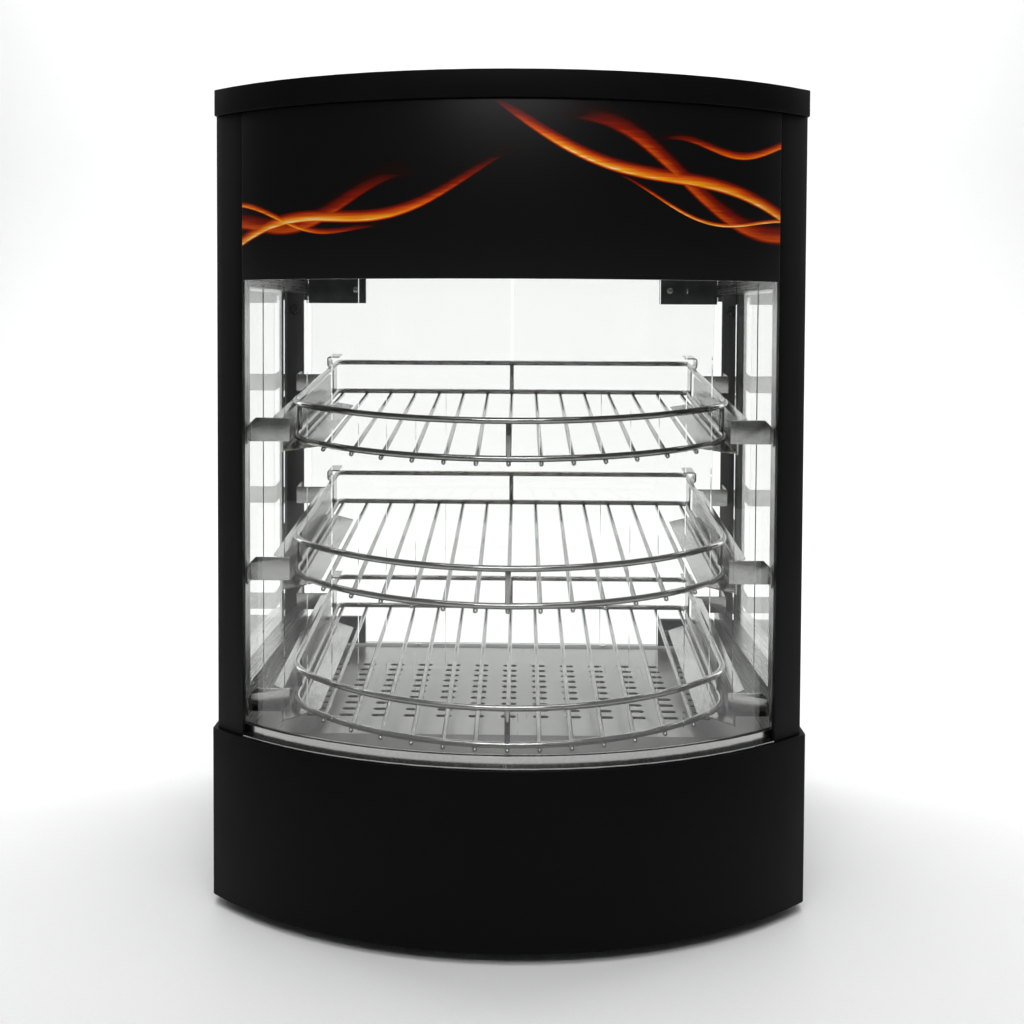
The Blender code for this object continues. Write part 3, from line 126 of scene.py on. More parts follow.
def add_node(tree, kind, inputs=None, **settings):
    """Adds one node. inputs maps a socket to a value, or to the output that feeds it."""
    node = tree.nodes.new("ShaderNode" + kind)
    for name, value in settings.items():
        setattr(node, name, value)
    for name, value in (inputs or {}).items():
        if isinstance(value, bpy.types.NodeSocket):
            tree.links.new(value, node.inputs[name])
        else:
            node.inputs[name].default_value = value
    return node


def start_finish(name, **values):
    """A new material with a Principled shader. values are its sockets, with _ for a blank."""
    finish = bpy.data.materials.new(name)
    finish.use_nodes = True
    shader = finish.node_tree.nodes["Principled BSDF"]
    for socket, value in values.items():
        shader.inputs[socket.replace("_", " ")].default_value = value
    return finish, finish.node_tree, shader


MM = 0.001
print("white is", linear("#ffffff"), "and mid grey is", round(linear("#808080")[0], 3))

# %% [markdown]
# ## Powder-coated steel
# The base, the cap and the front posts are folded mild steel with a satin black powder coat. The powder
# melts in an oven into a tough skin that is never quite flat: it has a faint orange peel, about a
# millimetre across. That breaks up highlights, so the black stays deep and only its bends catch light.

# %% Powder-coated steel
PEEL = 1.1 * MM
HANDLING = 45 * MM


def powder_coated_steel():
    finish, tree, shader = start_finish("powder_coated_steel", Specular_IOR_Level=0.06, IOR=1.5)
    place = add_node(tree, "TexCoord").outputs
    peel = add_node(tree, "TexNoise", {"Vector": place["Object"], "Scale": 1 / PEEL, "Detail": 2.0})
    touch = add_node(tree, "TexNoise", {"Vector": place["Object"], "Scale": 1 / HANDLING, "Detail": 6.0})
    touched = touch.outputs["Fac"]
    rough = add_node(tree, "MapRange", {"Value": touched, "To Min": 0.46, "To Max": 0.62})
    tone = add_node(tree, "ValToRGB", {"Fac": touched})
    tone.color_ramp.elements[0].color = linear("#0a0a0b")
    tone.color_ramp.elements[1].color = linear("#101011")
    peeled = peel.outputs["Fac"]
    bump = add_node(tree, "Bump", {"Height": peeled, "Strength": 0.22, "Distance": 0.08 * MM})
    tree.links.new(tone.outputs["Color"], shader.inputs["Base Color"])
    tree.links.new(rough.outputs["Result"], shader.inputs["Roughness"])
    tree.links.new(bump.outputs["Normal"], shader.inputs["Normal"])
    return finish


black_coat = powder_coated_steel()
print("peel drawn at", PEEL * 1000, "mm")

# %% [markdown]
# ## Brushed stainless sheet
# The posts, the rails and the inside are stainless sheet with a brushed face. A belt leaves fine parallel
# scratches a tenth of a millimetre wide, which blur a reflection along one line only. They are too fine
# for this picture, so the streaks are drawn about a millimetre wide and very long, by stretching a noise.
# The same sheet is drawn in several tones. The rails are paler and glossier: that paler tone is a painted
# sheen of the light in front. The posts and the sill are darker: a painted reflection of the dark room and of
# the dark band above the sill. The floor has no streaks and is drawn darker: painted shade.

# %% Brushed stainless sheet
STREAK = 1.2 * MM
STREAK_LENGTH = 160 * MM
SMEAR = 70 * MM
SMEAR_SHARE = 0.35
NOISE_LOW = 0.30
NOISE_HIGH = 0.70


def brushed_stainless(name, along, pale="#b4b4b2", deep="#8f8f8d", smooth=0.20, rough=0.36, grain=0.10):
    """A stainless sheet whose streaks run along one axis."""
    finish, tree, shader = start_finish(name, Metallic=1.0)
    place = add_node(tree, "TexCoord").outputs
    scale = [1 / STREAK] * 3
    scale["xyz".index(along)] = 1 / STREAK_LENGTH
    drawn = add_node(tree, "Mapping", {"Vector": place["Object"], "Scale": scale})
    streaks = add_node(tree, "TexNoise", {"Vector": drawn.outputs["Vector"], "Scale": 1.0, "Detail": 3.0})
    smears = add_node(tree, "TexNoise", {"Vector": place["Object"], "Scale": 1 / SMEAR, "Detail": 4.0})
    streaked = streaks.outputs["Fac"]
    both = add_node(tree, "Mix", {"Factor": SMEAR_SHARE, "A": streaked, "B": smears.outputs["Fac"]})
    mixed = both.outputs["Result"]
    tone = add_node(tree, "ValToRGB", {"Fac": mixed})
    tone.color_ramp.elements[0].position = NOISE_LOW
    tone.color_ramp.elements[1].position = NOISE_HIGH
    tone.color_ramp.elements[0].color = linear(deep)
    tone.color_ramp.elements[1].color = linear(pale)
    blur = add_node(tree, "MapRange", {"Value": mixed, "From Min": NOISE_LOW, "From Max": NOISE_HIGH})
    blur.inputs["To Min"].default_value = smooth
    blur.inputs["To Max"].default_value = rough
    bump = add_node(tree, "Bump", {"Height": streaked, "Strength": grain, "Distance": 0.05 * MM})
    tree.links.new(tone.outputs["Color"], shader.inputs["Base Color"])
    tree.links.new(blur.outputs["Result"], shader.inputs["Roughness"])
    tree.links.new(bump.outputs["Normal"], shader.inputs["Normal"])
    return finish


upright_stainless = brushed_stainless("brushed_stainless_upright", "z")
# The posts are drawn darker than the other stainless: a painted reflection of the dark room in front of them.
post_stainless_painted_reflection = brushed_stainless("stainless_post_painted_reflection", "z", "#7f7f7d", "#6a6a68", 0.26, 0.40)
cross_stainless = brushed_stainless("brushed_stainless_across", "x")
deep_stainless = brushed_stainless("brushed_stainless_front_to_back", "y")
# The rails and the glass channel are drawn paler than the other stainless: a painted sheen of the light in
# front.
rail_stainless_painted_sheen = brushed_stainless("stainless_rail_painted_sheen", "y", "#c6c6c4", "#a2a2a0", 0.14, 0.28)
# The floor is satin with no streaks, and is drawn darker than the other stainless: painted shade.
tray_stainless_painted_shade = brushed_stainless("satin_stainless_tray_painted_shade", "y", "#959593", "#8f8f8d", 0.27, 0.30, 0.0)
# The sill is drawn darker than the other stainless: a painted reflection of the dark band above it.
sill_stainless_painted_reflection = brushed_stainless("stainless_sill_painted_reflection", "x", "#6f6f6e", "#6b6b6a", 0.46, 0.50, 0.0)
print("streaks drawn", STREAK * 1000, "mm wide")

# %% [markdown]
# ## Polished stainless rod
# The racks are welded from drawn stainless rod and then electropolished, which rounds off every scratch.
# What is left is close to a mirror, with slight waves along the rod from the drawing die.

# %% Polished stainless rod
DIE_WAVE = 9 * MM


def polished_stainless_rod():
    finish, tree, shader = start_finish("polished_stainless_rod", Metallic=1.0)
    place = add_node(tree, "TexCoord").outputs
    waves = add_node(tree, "TexNoise", {"Vector": place["Object"], "Scale": 1 / DIE_WAVE, "Detail": 3.0})
    wave = waves.outputs["Fac"]
    tone = add_node(tree, "ValToRGB", {"Fac": wave})
    tone.color_ramp.elements[0].color = linear("#8c8c8b")
    tone.color_ramp.elements[1].color = linear("#b4b4b3")
    blur = add_node(tree, "MapRange", {"Value": wave, "To Min": 0.05, "To Max": 0.13})
    bump = add_node(tree, "Bump", {"Height": wave, "Strength": 0.12, "Distance": 0.1 * MM})
    tree.links.new(tone.outputs["Color"], shader.inputs["Base Color"])
    tree.links.new(blur.outputs["Result"], shader.inputs["Roughness"])
    tree.links.new(bump.outputs["Normal"], shader.inputs["Normal"])
    return finish


rod_stainless = polished_stainless_rod()
print("die waves drawn at", DIE_WAVE * 1000, "mm")

# %% [markdown]
# ## Blackened steel
# The patch plates that hold the glass doors, and the strip behind the floor, are steel with a dark oxide
# skin. It is metal that has gone almost black, with a soft shine and a fine grain, and it is rubbed a
# little paler here and there.

# %% Blackened steel
OXIDE_GRAIN = 0.9 * MM
RUBBED = 14 * MM


def blackened_steel():
    finish, tree, shader = start_finish("blackened_steel", Metallic=1.0)
    place = add_node(tree, "TexCoord").outputs
    grain = add_node(tree, "TexNoise", {"Vector": place["Object"], "Scale": 1 / OXIDE_GRAIN, "Detail": 2.0})
    rub = add_node(tree, "TexNoise", {"Vector": place["Object"], "Scale": 1 / RUBBED, "Detail": 4.0})
    tone = add_node(tree, "ValToRGB", {"Fac": rub.outputs["Fac"]})
    tone.color_ramp.elements[0].color = linear("#2c2c2d")
    tone.color_ramp.elements[1].color = linear("#565656")
    speck = grain.outputs["Fac"]
    blur = add_node(tree, "MapRange", {"Value": speck, "To Min": 0.28, "To Max": 0.46})
    bump = add_node(tree, "Bump", {"Height": speck, "Strength": 0.15, "Distance": 0.04 * MM})
    tree.links.new(tone.outputs["Color"], shader.inputs["Base Color"])
    tree.links.new(blur.outputs["Result"], shader.inputs["Roughness"])
    tree.links.new(bump.outputs["Normal"], shader.inputs["Normal"])
    return finish


dark_plate = blackened_steel()
print("grain drawn at", OXIDE_GRAIN * 1000, "mm")

# %% [markdown]
# ## Toughened float glass
# The panes are 4 mm soda-lime float glass, toughened and with ground edges. Seen through its face it is
# clear. A cut edge gathers light along the whole pane, so it looks grey green. One finish serves a pane:
# it reads which way each face of the pane looks, and tints the narrow ones. Light from a lamp goes
# straight through a clear pane, so lamps see it as see-through, which keeps its shadow faint.

# %% Toughened float glass
WIPE_MARK = 60 * MM
GROUND_ROUGHNESS = 0.30
EDGE_ABOVE = 0.7
TINT_OF_FACE = 6
TINT_OF_EDGE = 7


def float_glass(name, edge_ways):
    """Glass whose faces that look along edge_ways are its ground edges."""
    finish, tree, shader = start_finish(name, Transmission_Weight=1.0, IOR=1.52)
    place = add_node(tree, "TexCoord").outputs
    ways = add_node(tree, "SeparateXYZ", {"Vector": place["Normal"]})
    edge = None
    for way in edge_ways:
        facing = add_node(tree, "Math", {0: ways.outputs[way]}, operation="ABSOLUTE").outputs[0]
        if edge is None:
            edge = facing
        else:
            edge = add_node(tree, "Math", {0: edge, 1: facing}, operation="MAXIMUM").outputs[0]
    is_edge = add_node(tree, "Math", {0: edge, 1: EDGE_ABOVE}, operation="GREATER_THAN").outputs[0]
    tint = add_node(tree, "Mix", {"Factor": is_edge}, data_type="RGBA")
    tint.inputs[TINT_OF_FACE].default_value = linear("#fcfdfc")
    tint.inputs[TINT_OF_EDGE].default_value = linear("#b9cac4")
    wiped = add_node(tree, "TexNoise", {"Vector": place["Object"], "Scale": 1 / WIPE_MARK, "Detail": 5.0})
    clean = add_node(tree, "MapRange", {"Value": wiped.outputs["Fac"], "To Min": 0.0, "To Max": 0.025})
    ground = {0: is_edge, 1: GROUND_ROUGHNESS, 2: clean.outputs["Result"]}
    blur = add_node(tree, "Math", ground, operation="MULTIPLY_ADD")
    tree.links.new(tint.outputs[2], shader.inputs["Base Color"])
    tree.links.new(blur.outputs[0], shader.inputs["Roughness"])
    to_lamp = add_node(tree, "LightPath").outputs["Is Shadow Ray"]
    through = add_node(tree, "BsdfTransparent", {"Color": linear("#f6f8f7")})
    pane = add_node(tree, "MixShader", {0: to_lamp, 1: shader.outputs[0], 2: through.outputs[0]})
    tree.links.new(pane.outputs[0], tree.nodes["Material Output"].inputs["Surface"])
    return finish


front_pane = float_glass("float_glass_bowed", ["Z"])
side_pane = float_glass("float_glass_side", ["Y", "Z"])
door_pane = float_glass("float_glass_door", ["X", "Z"])
print("three panes of soda-lime glass, IOR 1.52")

# %% [markdown]
# ## The printed band
# The band over the front glass is black sheet with a print on it. The print here is a plain one of warm
# ribbons on black, drawn by sums: each ribbon has a wavy middle line, a crisp lower edge and a soft upper
# one, and fades out along its length. The brightest ribbon wins at each point, and one colour ramp turns
# that brightness into ember red, orange and pale yellow ink.

# %% The printed band
BAND_MIDDLE = UNDERSIDE + 0.549
INK_STREAK = 1.6 * MM
INK_STREAK_LENGTH = 40 * MM
EDGE_CRISP = 4
INKS = [
    (0.0, "#0c0c0c"),
    (0.12, "#1c0804"),
    (0.32, "#8a1a05"),
    (0.58, "#e35a08"),
    (0.82, "#ffac1e"),
    (1.0, "#fff0bd"),
]

# Each ribbon: first x, last x, height at the first x, slope, wave height, wave length, phase, thickness,
# share of full heat, and how far it takes to fade in and out. Its lower edge is EDGE_CRISP times crisper.
RIBBONS = [
    (-0.215, 0.010, -0.047, 0.30, 0.011, 0.200, 0.4, 0.0085, 1.00, 0.002, 0.110),
    (-0.215, -0.060, -0.030, 0.22, 0.010, 0.150, 2.2, 0.0130, 0.55, 0.002, 0.080),
    (-0.215, -0.085, -0.012, -0.16, 0.006, 0.120, 1.0, 0.0045, 0.85, 0.002, 0.070),
    (-0.020, 0.215, 0.066, -0.42, 0.013, 0.260, 2.9, 0.0095, 0.95, 0.060, 0.002),
    (0.030, 0.215, 0.046, -0.40, 0.016, 0.200, 0.2, 0.0150, 0.55, 0.070, 0.002),
    (0.070, 0.215, 0.004, -0.22, 0.010, 0.160, 1.8, 0.0030, 1.00, 0.050, 0.002),
    (0.100, 0.215, 0.030, 0.05, 0.007, 0.110, 0.6, 0.0060, 0.75, 0.060, 0.002),
]


def ribbon_heat(tree, x, height, ribbon):
    """How hot one ribbon is at each point, from none to full."""
    first, last, start, slope, wave, length, phase, thickness, heat_share, fade_in, fade_out = ribbon
    along = add_node(tree, "Math", {0: x, 1: first}, operation="SUBTRACT").outputs[0]
    wave_turn = 2 * math.pi / length
    turn = add_node(tree, "Math", {0: along, 1: wave_turn, 2: phase}, operation="MULTIPLY_ADD")
    swing = add_node(tree, "Math", {0: turn.outputs[0]}, operation="SINE")
    climb = add_node(tree, "Math", {0: along, 1: slope, 2: start}, operation="MULTIPLY_ADD")
    waved = {0: swing.outputs[0], 1: wave, 2: climb.outputs[0]}
    middle = add_node(tree, "Math", waved, operation="MULTIPLY_ADD")
    off = add_node(tree, "Math", {0: height, 1: middle.outputs[0]}, operation="SUBTRACT").outputs[0]
    above = add_node(tree, "Math", {0: off, 1: 1 / thickness}, operation="MULTIPLY")
    below = add_node(tree, "Math", {0: off, 1: -EDGE_CRISP / thickness}, operation="MULTIPLY")
    away = add_node(tree, "Math", {0: above.outputs[0], 1: below.outputs[0]}, operation="MAXIMUM")
    glow = add_node(tree, "MapRange", {"Value": away.outputs[0], "To Min": heat_share, "To Max": 0.0})
    come = add_node(tree, "MapRange", {"Value": x, "From Min": first, "From Max": first + fade_in})
    leave = add_node(tree, "MapRange", {"Value": x, "From Min": last, "From Max": last - fade_out})
    both_ends = {0: come.outputs["Result"], 1: leave.outputs["Result"]}
    ends = add_node(tree, "Math", both_ends, operation="MULTIPLY")
    heat = add_node(tree, "Math", {0: glow.outputs["Result"], 1: ends.outputs[0]}, operation="MULTIPLY")
    return heat.outputs[0]


def printed_steel():
    finish, tree, shader = start_finish("printed_steel", Specular_IOR_Level=0.2, Roughness=0.34)
    place = add_node(tree, "TexCoord").outputs
    at = add_node(tree, "SeparateXYZ", {"Vector": place["Object"]})
    height = add_node(tree, "Math", {0: at.outputs["Z"], 1: BAND_MIDDLE}, operation="SUBTRACT")
    heat = None
    for ribbon in RIBBONS:
        glow = ribbon_heat(tree, at.outputs["X"], height.outputs[0], ribbon)
        if heat is None:
            heat = glow
        else:
            heat = add_node(tree, "Math", {0: heat, 1: glow}, operation="MAXIMUM").outputs[0]
    scale = (1 / INK_STREAK_LENGTH, 1 / INK_STREAK_LENGTH, 1 / INK_STREAK)
    drawn = add_node(tree, "Mapping", {"Vector": place["Object"], "Scale": scale})
    silk = add_node(tree, "TexNoise", {"Vector": drawn.outputs["Vector"], "Scale": 1.0, "Detail": 3.0})
    fine = add_node(tree, "MapRange", {"Value": silk.outputs["Fac"], "To Min": 0.62, "To Max": 1.25})
    lit = add_node(tree, "Math", {0: heat, 1: fine.outputs["Result"]}, operation="MULTIPLY")
    ink = add_node(tree, "ValToRGB", {"Fac": lit.outputs[0]})
    for end, element in ((0, ink.color_ramp.elements[0]), (-1, ink.color_ramp.elements[1])):
        element.position, element.color = INKS[end][0], linear(INKS[end][1])
    for position, colour in INKS[1:-1]:
        ink.color_ramp.elements.new(position).color = linear(colour)
    peel = add_node(tree, "TexNoise", {"Vector": place["Object"], "Scale": 1 / PEEL, "Detail": 2.0})
    peeled = peel.outputs["Fac"]
    bump = add_node(tree, "Bump", {"Height": peeled, "Strength": 0.08, "Distance": 0.05 * MM})
    tree.links.new(ink.outputs["Color"], shader.inputs["Base Color"])
    tree.links.new(bump.outputs["Normal"], shader.inputs["Normal"])
    return finish


band_print = printed_steel()
print(len(RIBBONS), "ribbons in the print")

# %% [markdown]
# ## Moulded parts, rubber and small metal parts
# The knob, the switch and the cable gland are moulded nylon, whose mould has a fine spark-eroded texture,
# half a millimetre across. The power rocker and the pilot lens are tinted polycarbonate, which is clear
# and shiny. The feet are nitrile rubber, dull and a little dusty. The heating rod's sheath has a brown
# heat tint, the pan under the base is galvanised, and the screws are plated with zinc, bright or black.

# %% Moulded parts, rubber and small metal parts
SPARK_TEXTURE = 0.5 * MM
RUBBER_DUST = 6 * MM


def grained(name, size, colours, roughs, bump_mm, **values):
    """A plain material with a fine grain that moves its colour, its gloss and its surface."""
    finish, tree, shader = start_finish(name, **values)
    place = add_node(tree, "TexCoord").outputs
    grain = add_node(tree, "TexNoise", {"Vector": place["Object"], "Scale": 1 / size, "Detail": 3.0})
    speck = grain.outputs["Fac"]
    tone = add_node(tree, "ValToRGB", {"Fac": speck})
    tone.color_ramp.elements[0].color = linear(colours[0])
    tone.color_ramp.elements[1].color = linear(colours[1])
    blur = add_node(tree, "MapRange", {"Value": speck, "To Min": roughs[0], "To Max": roughs[1]})
    bump = add_node(tree, "Bump", {"Height": speck, "Strength": 0.2, "Distance": bump_mm * MM})
    tree.links.new(tone.outputs["Color"], shader.inputs["Base Color"])
    tree.links.new(blur.outputs["Result"], shader.inputs["Roughness"])
    tree.links.new(bump.outputs["Normal"], shader.inputs["Normal"])
    return finish


# Each: name, size of the grain, two colours, two roughnesses, depth of the grain in mm, other sockets
black_nylon = grained("moulded_nylon", SPARK_TEXTURE, ("#151516", "#1f1f20"), (0.38, 0.55), 0.06, IOR=1.53)
nitrile = grained("nitrile_rubber", RUBBER_DUST, ("#181818", "#2b2b2a"), (0.70, 0.92), 0.08, IOR=1.52)
sheath = grained("heat_tinted_sheath", 5 * MM, ("#4e443b", "#7b736b"), (0.38, 0.60), 0.05, Metallic=1.0)
red_lens = grained("red_polycarbonate", 4 * MM, ("#a81410", "#c8231c"), (0.08, 0.16), 0.01, IOR=1.585,
                   Transmission_Weight=0.35)
galvanised = grained("galvanised_sheet", 16 * MM, ("#3c3d3e", "#4d4e4f"), (0.45, 0.62), 0.02, Metallic=1.0)
dark_zinc = grained("black_zinc_screw", 1.2 * MM, ("#3a3a3a", "#565655"), (0.20, 0.36), 0.02, Metallic=1.0)
screw_steel = grained("zinc_plated_screw", 1.5 * MM, ("#9f9f9d", "#c9c9c6"), (0.18, 0.32), 0.02, Metallic=1.0)
opal = grained("opal_lamp_glass", 3 * MM, ("#efe9da", "#fbf7ec"), (0.20, 0.30), 0.01, IOR=1.5,
               Emission_Color=linear("#fff0d2"), Emission_Strength=6.0)
print(len(bpy.data.materials), "finishes so far")

# %% [markdown]
# ## Finishes on the solids
# Most solids already have the right shape, and only need the right material. Flat sheets get streaks that
# run along their length, as the mill leaves them.

# %% Put finishes on the solids
DRESS = {
    cross_stainless: ["ceiling_panel", "rear_top_panel", "control_panel", "element_bracket",
                      "lamp_reflector"],
    deep_stainless: ["side_lower_rail_left", "side_lower_rail_right", "side_upper_rail_left",
                     "side_upper_rail_right"],
    tray_stainless_painted_shade: ["floor_plate"],
    sill_stainless_painted_reflection: ["front_sill"],
    galvanised: ["base_pan"],
    upright_stainless: ["front_pillar_left", "front_pillar_right"],
    post_stainless_painted_reflection: ["rear_post_left", "rear_post_right"],
    rail_stainless_painted_sheen: ["glass_channel", *[f"rack_rail_{level}_{side}" for level in ("top", "middle", "bottom")
                                        for side in SIDES]],
    black_coat: ["base_shell", "front_post_left", "front_post_right", "side_panel_left", "side_panel_right",
                 "top_cap"],
    band_print: ["header_band"],
    front_pane: ["front_glass"],
    side_pane: ["side_glass_left", "side_glass_right"],
    door_pane: ["door_glass_left", "door_glass_right"],
    dark_plate: ["rear_sill", *[f"hinge_patch_{end}_{side}" for end in ("top", "bottom") for side in SIDES]],
    screw_steel: [f"hinge_bracket_{end}_{side}" for end in ("top", "bottom") for side in SIDES],
    black_nylon: ["thermostat_body", "thermostat_knob", "switch_housing", "light_rocker", "cable_gland"],
    red_lens: ["power_rocker", "pilot_lamp"],
    nitrile: [f"foot_{end}_{side}" for end in ("front", "rear") for side in SIDES],
    sheath: ["heating_element"],
    opal: ["lamp"],
}
for finish, names in DRESS.items():
    for name in names:
        solids[name].material_slots[0].material = finish
dressed = sum(len(names) for names in DRESS.values())
print(dressed, "of", len(solids), "solids dressed")

# %% [markdown]
# ## Adding a piece
# A piece is a mesh that rides on one body of the model, so it moves when that body moves. Where it stands
# for a solid, the solid is hidden. Round pieces are shaded smooth, and edges sharper than a set angle stay
# crisp.

# %% Helper for pieces
CRISP = math.radians(34)
pieces_made = []


def add_piece(name, mesh, finish, body="case", stands_for=()):
    """Puts a mesh into the scene with its finish, on its body."""
    mesh.name = name
    mesh.materials.clear()
    mesh.materials.append(finish)
    mesh.shade_smooth()
    mesh.set_sharp_from_angle(angle=CRISP)
    piece = bpy.data.objects.new(name, mesh)
    bpy.context.scene.collection.objects.link(piece)
    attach(piece, body)
    if stands_for:
        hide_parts(*stands_for)
    pieces_made.append(name)
    return piece


def finished(bm):
    """A bmesh as a mesh, with its faces turned out."""
    bmesh.ops.recalc_face_normals(bm, faces=bm.faces)
    mesh = bpy.data.meshes.new("part")
    bm.to_mesh(mesh)
    bm.free()
    return mesh


print("sharp above", round(math.degrees(CRISP)), "degrees")

# %% [markdown]
# ## Folded and eased edges
# No edge of a real sheet is a knife edge. A press brake leaves a bend with a radius near the sheet's
# thickness, and cut edges are deburred. A narrow bevel gives each edge the thin line of light by which the
# eye reads folded metal. The bevel is put on a copy of the solid, and the copy stands for it.

# %% Ease the edges of the sheet pieces
FOLD = 0.9 * MM
DEBURR = 0.35 * MM
SAME_PLANE = math.radians(0.6)
MERGED = 0.001 * MM
EASE_STEPS = 3


def eased_copy(name, width):
    """A copy of a solid's mesh with its sharp edges rounded."""
    bm = bmesh.new()
    bm.from_mesh(solids[name].data)
    bmesh.ops.remove_doubles(bm, verts=bm.verts, dist=MERGED)
    bmesh.ops.dissolve_limit(bm, angle_limit=SAME_PLANE, verts=bm.verts, edges=bm.edges)
    between_two = [edge for edge in bm.edges if len(edge.link_faces) == 2]
    sharp = [edge for edge in between_two if edge.calc_face_angle(0.0) > CRISP]
    bmesh.ops.bevel(bm, geom=sharp, offset=width, segments=EASE_STEPS, affect="EDGES", profile=0.5,
                    clamp_overlap=True)
    return finished(bm)


EASED = {
    "base_shell": (FOLD, black_coat, "black_paint"),
    "top_cap": (FOLD, black_coat, "black_paint"),
    "front_post_left": (DEBURR, black_coat, "black_paint"),
    "front_post_right": (DEBURR, black_coat, "black_paint"),
    "header_band": (DEBURR, band_print, "header_print"),
    "control_panel": (DEBURR, cross_stainless, "stainless"),
    "switch_housing": (DEBURR, black_nylon, "black_plastic"),
}
for name in solids:
    if name.startswith("rack_rail"):
        EASED[name] = (DEBURR, rail_stainless_painted_sheen, "bright_steel")
    elif name.startswith("hinge_patch"):
        EASED[name] = (DEBURR, dark_plate, "dark_steel")
for name, (width, finish, slot) in EASED.items():
    add_piece(f"{name}_folded", eased_copy(name, width), finish, body_of_solid[name], [name])
print(len(EASED), "solids with eased edges")

# %% [markdown]
# ## The wire racks
# Each rack is bent and spot-welded from three sizes of rod: a lower and an upper rod round the edge,
# slightly thinner posts between them, and thin floor wires under the lower rod that stick out at the
# front. Two bent strips near the back corners are the lift hooks. The rods are swept as round tubes along
# the same lines as the solid. Each size of rod is given by its radius.

# %% Measures of the racks
ROD = 2.5 * MM
WIRE = 1.9 * MM
FENCE_POST = 2.1 * MM
RACK_HALF = 0.1745
RACK_SIDE = 0.2774
RACK_BOW = 0.0916
FENCE = 0.0287
FRONT_CORNER = 0.060
REAR_CORNER = 0.008
POST_INSET = 0.031
WIRE_PITCH = 0.0243
WIRE_END = 0.0035
WELD_SINK = 0.6 * MM
TILT = math.radians(4.81)
RACK_BACK_DEPTH = 0.318
RACK_LEVELS = {"top": 0.3835, "middle": 0.273, "bottom": 0.168}
ROUND = 16
CORNER_STEPS = 12
BOW_STEPS = 40
# A cut rod's end, by shares of its radius: how far in, and how thick it is there
ROD_END = [(0.0, 0.35), (0.3, 0.8), (1.0, 1.0)]

bow_radius = (RACK_HALF**2 + RACK_BOW**2) / (2 * RACK_BOW)
bow_middle = bow_radius - RACK_BOW - RACK_SIDE
corner_x = RACK_HALF - FRONT_CORNER
corner_y = bow_middle - math.sqrt((bow_radius - FRONT_CORNER) ** 2 - corner_x**2)
meeting = math.atan2(corner_x, bow_middle - corner_y)
print("the rack's bow has a radius of", round(bow_radius * 1000), "mm")


# %% Sweep a rod along a line
def sweep_rod(bm, path, radius, closed=False):
    """A round rod along a line of points. An open rod's ends are rounded off."""
    path = [Vector(point) for point in path]
    count = len(path)
    radii = [radius] * count
    if not closed:
        first = (path[1] - path[0]).normalized() * radius
        last = (path[-1] - path[-2]).normalized() * radius
        near_end = [path[0] + first * inward for inward, _ in ROD_END]
        far_end = [path[-1] - last * inward for inward, _ in ROD_END[::-1]]
        shares = [share for _, share in ROD_END]
        path = [*near_end, *path[1:-1], *far_end]
        radii = [radius * share for share in [*shares, *[1.0] * (count - 2), *shares[::-1]]]
        count = len(path)
    rings = []
    side = None
    for i, point in enumerate(path):
        behind = path[i - 1] if closed or i else point
        beyond = path[(i + 1) % count] if closed or i < count - 1 else point
        run = (beyond - behind).normalized()
        if side is None:
            is_upright = abs(run.z) >= 0.9
            side = run.cross(Vector((0, 1, 0)) if is_upright else Vector((0, 0, 1)))
        side = (side - run * side.dot(run)).normalized()
        other = run.cross(side)
        ring = []
        for step in range(ROUND):
            angle = 2 * math.pi * step / ROUND
            outward = side * math.cos(angle) + other * math.sin(angle)
            ring.append(bm.verts.new(point + outward * radii[i]))
        rings.append(ring)
    pairs = list(zip(rings, rings[1:]))
    if closed:
        pairs.append((rings[-1], rings[0]))
    else:
        bm.faces.new(rings[0])
        bm.faces.new(rings[-1])
    for low, high in pairs:
        for i in range(ROUND):
            bm.faces.new((low[i - 1], low[i], high[i], high[i - 1]))


print("rods have", ROUND, "sides, which smooth shading makes round")

# %% [markdown]
# The edge of a rack in plan is a wide arc, a tighter arc at each front corner, two straight sides and a
# straight back. A wire bender rolls each arc into the next without a kink, so the corner's circle touches
# the bow's circle from inside, and both meet on the line through their two centres.

# %% The line of a rack's edge
def arc_points(centre, radius, start, end, steps):
    """Points on a circle in plan, by the angle from straight ahead towards the right."""
    angles = [start + (end - start) * step / steps for step in range(steps + 1)]
    return [(centre[0] + radius * math.sin(a), centre[1] - radius * math.cos(a)) for a in angles]


def rounded_corner(before, corner, after, radius, steps=8):
    """The points of an arc that rounds one corner."""
    here = Vector(corner)
    back = (Vector(before) - here).normalized()
    forth = (Vector(after) - here).normalized()
    half = back.angle(forth) / 2
    middle = here + (back + forth).normalized() * radius / math.sin(half)
    reach = radius / math.tan(half)
    start = here + back * reach - middle
    end = here + forth * reach - middle
    first = math.atan2(start.y, start.x)
    turn = (math.atan2(end.y, end.x) - first + math.pi) % (2 * math.pi) - math.pi
    angles = [first + turn * step / steps for step in range(steps + 1)]
    return [(middle.x + radius * math.cos(angle), middle.y + radius * math.sin(angle)) for angle in angles]


def rack_edge(height):
    """The rack's edge at a height over its own floor, from the front left corner round to the back left."""
    left_back = (-RACK_HALF, 0)
    right_back = (RACK_HALF, 0)
    left = arc_points((-corner_x, corner_y), FRONT_CORNER, -math.pi / 2, -meeting, CORNER_STEPS)
    bow = arc_points((0, bow_middle), bow_radius, -meeting, meeting, BOW_STEPS)[1:-1]
    right = arc_points((corner_x, corner_y), FRONT_CORNER, meeting, math.pi / 2, CORNER_STEPS)
    back_right = rounded_corner(right[-1], right_back, left_back, REAR_CORNER)
    back_left = rounded_corner(right_back, left_back, left[0], REAR_CORNER)
    return [(x, y, height) for x, y in [*left, *bow, *right, *back_right, *back_left]]


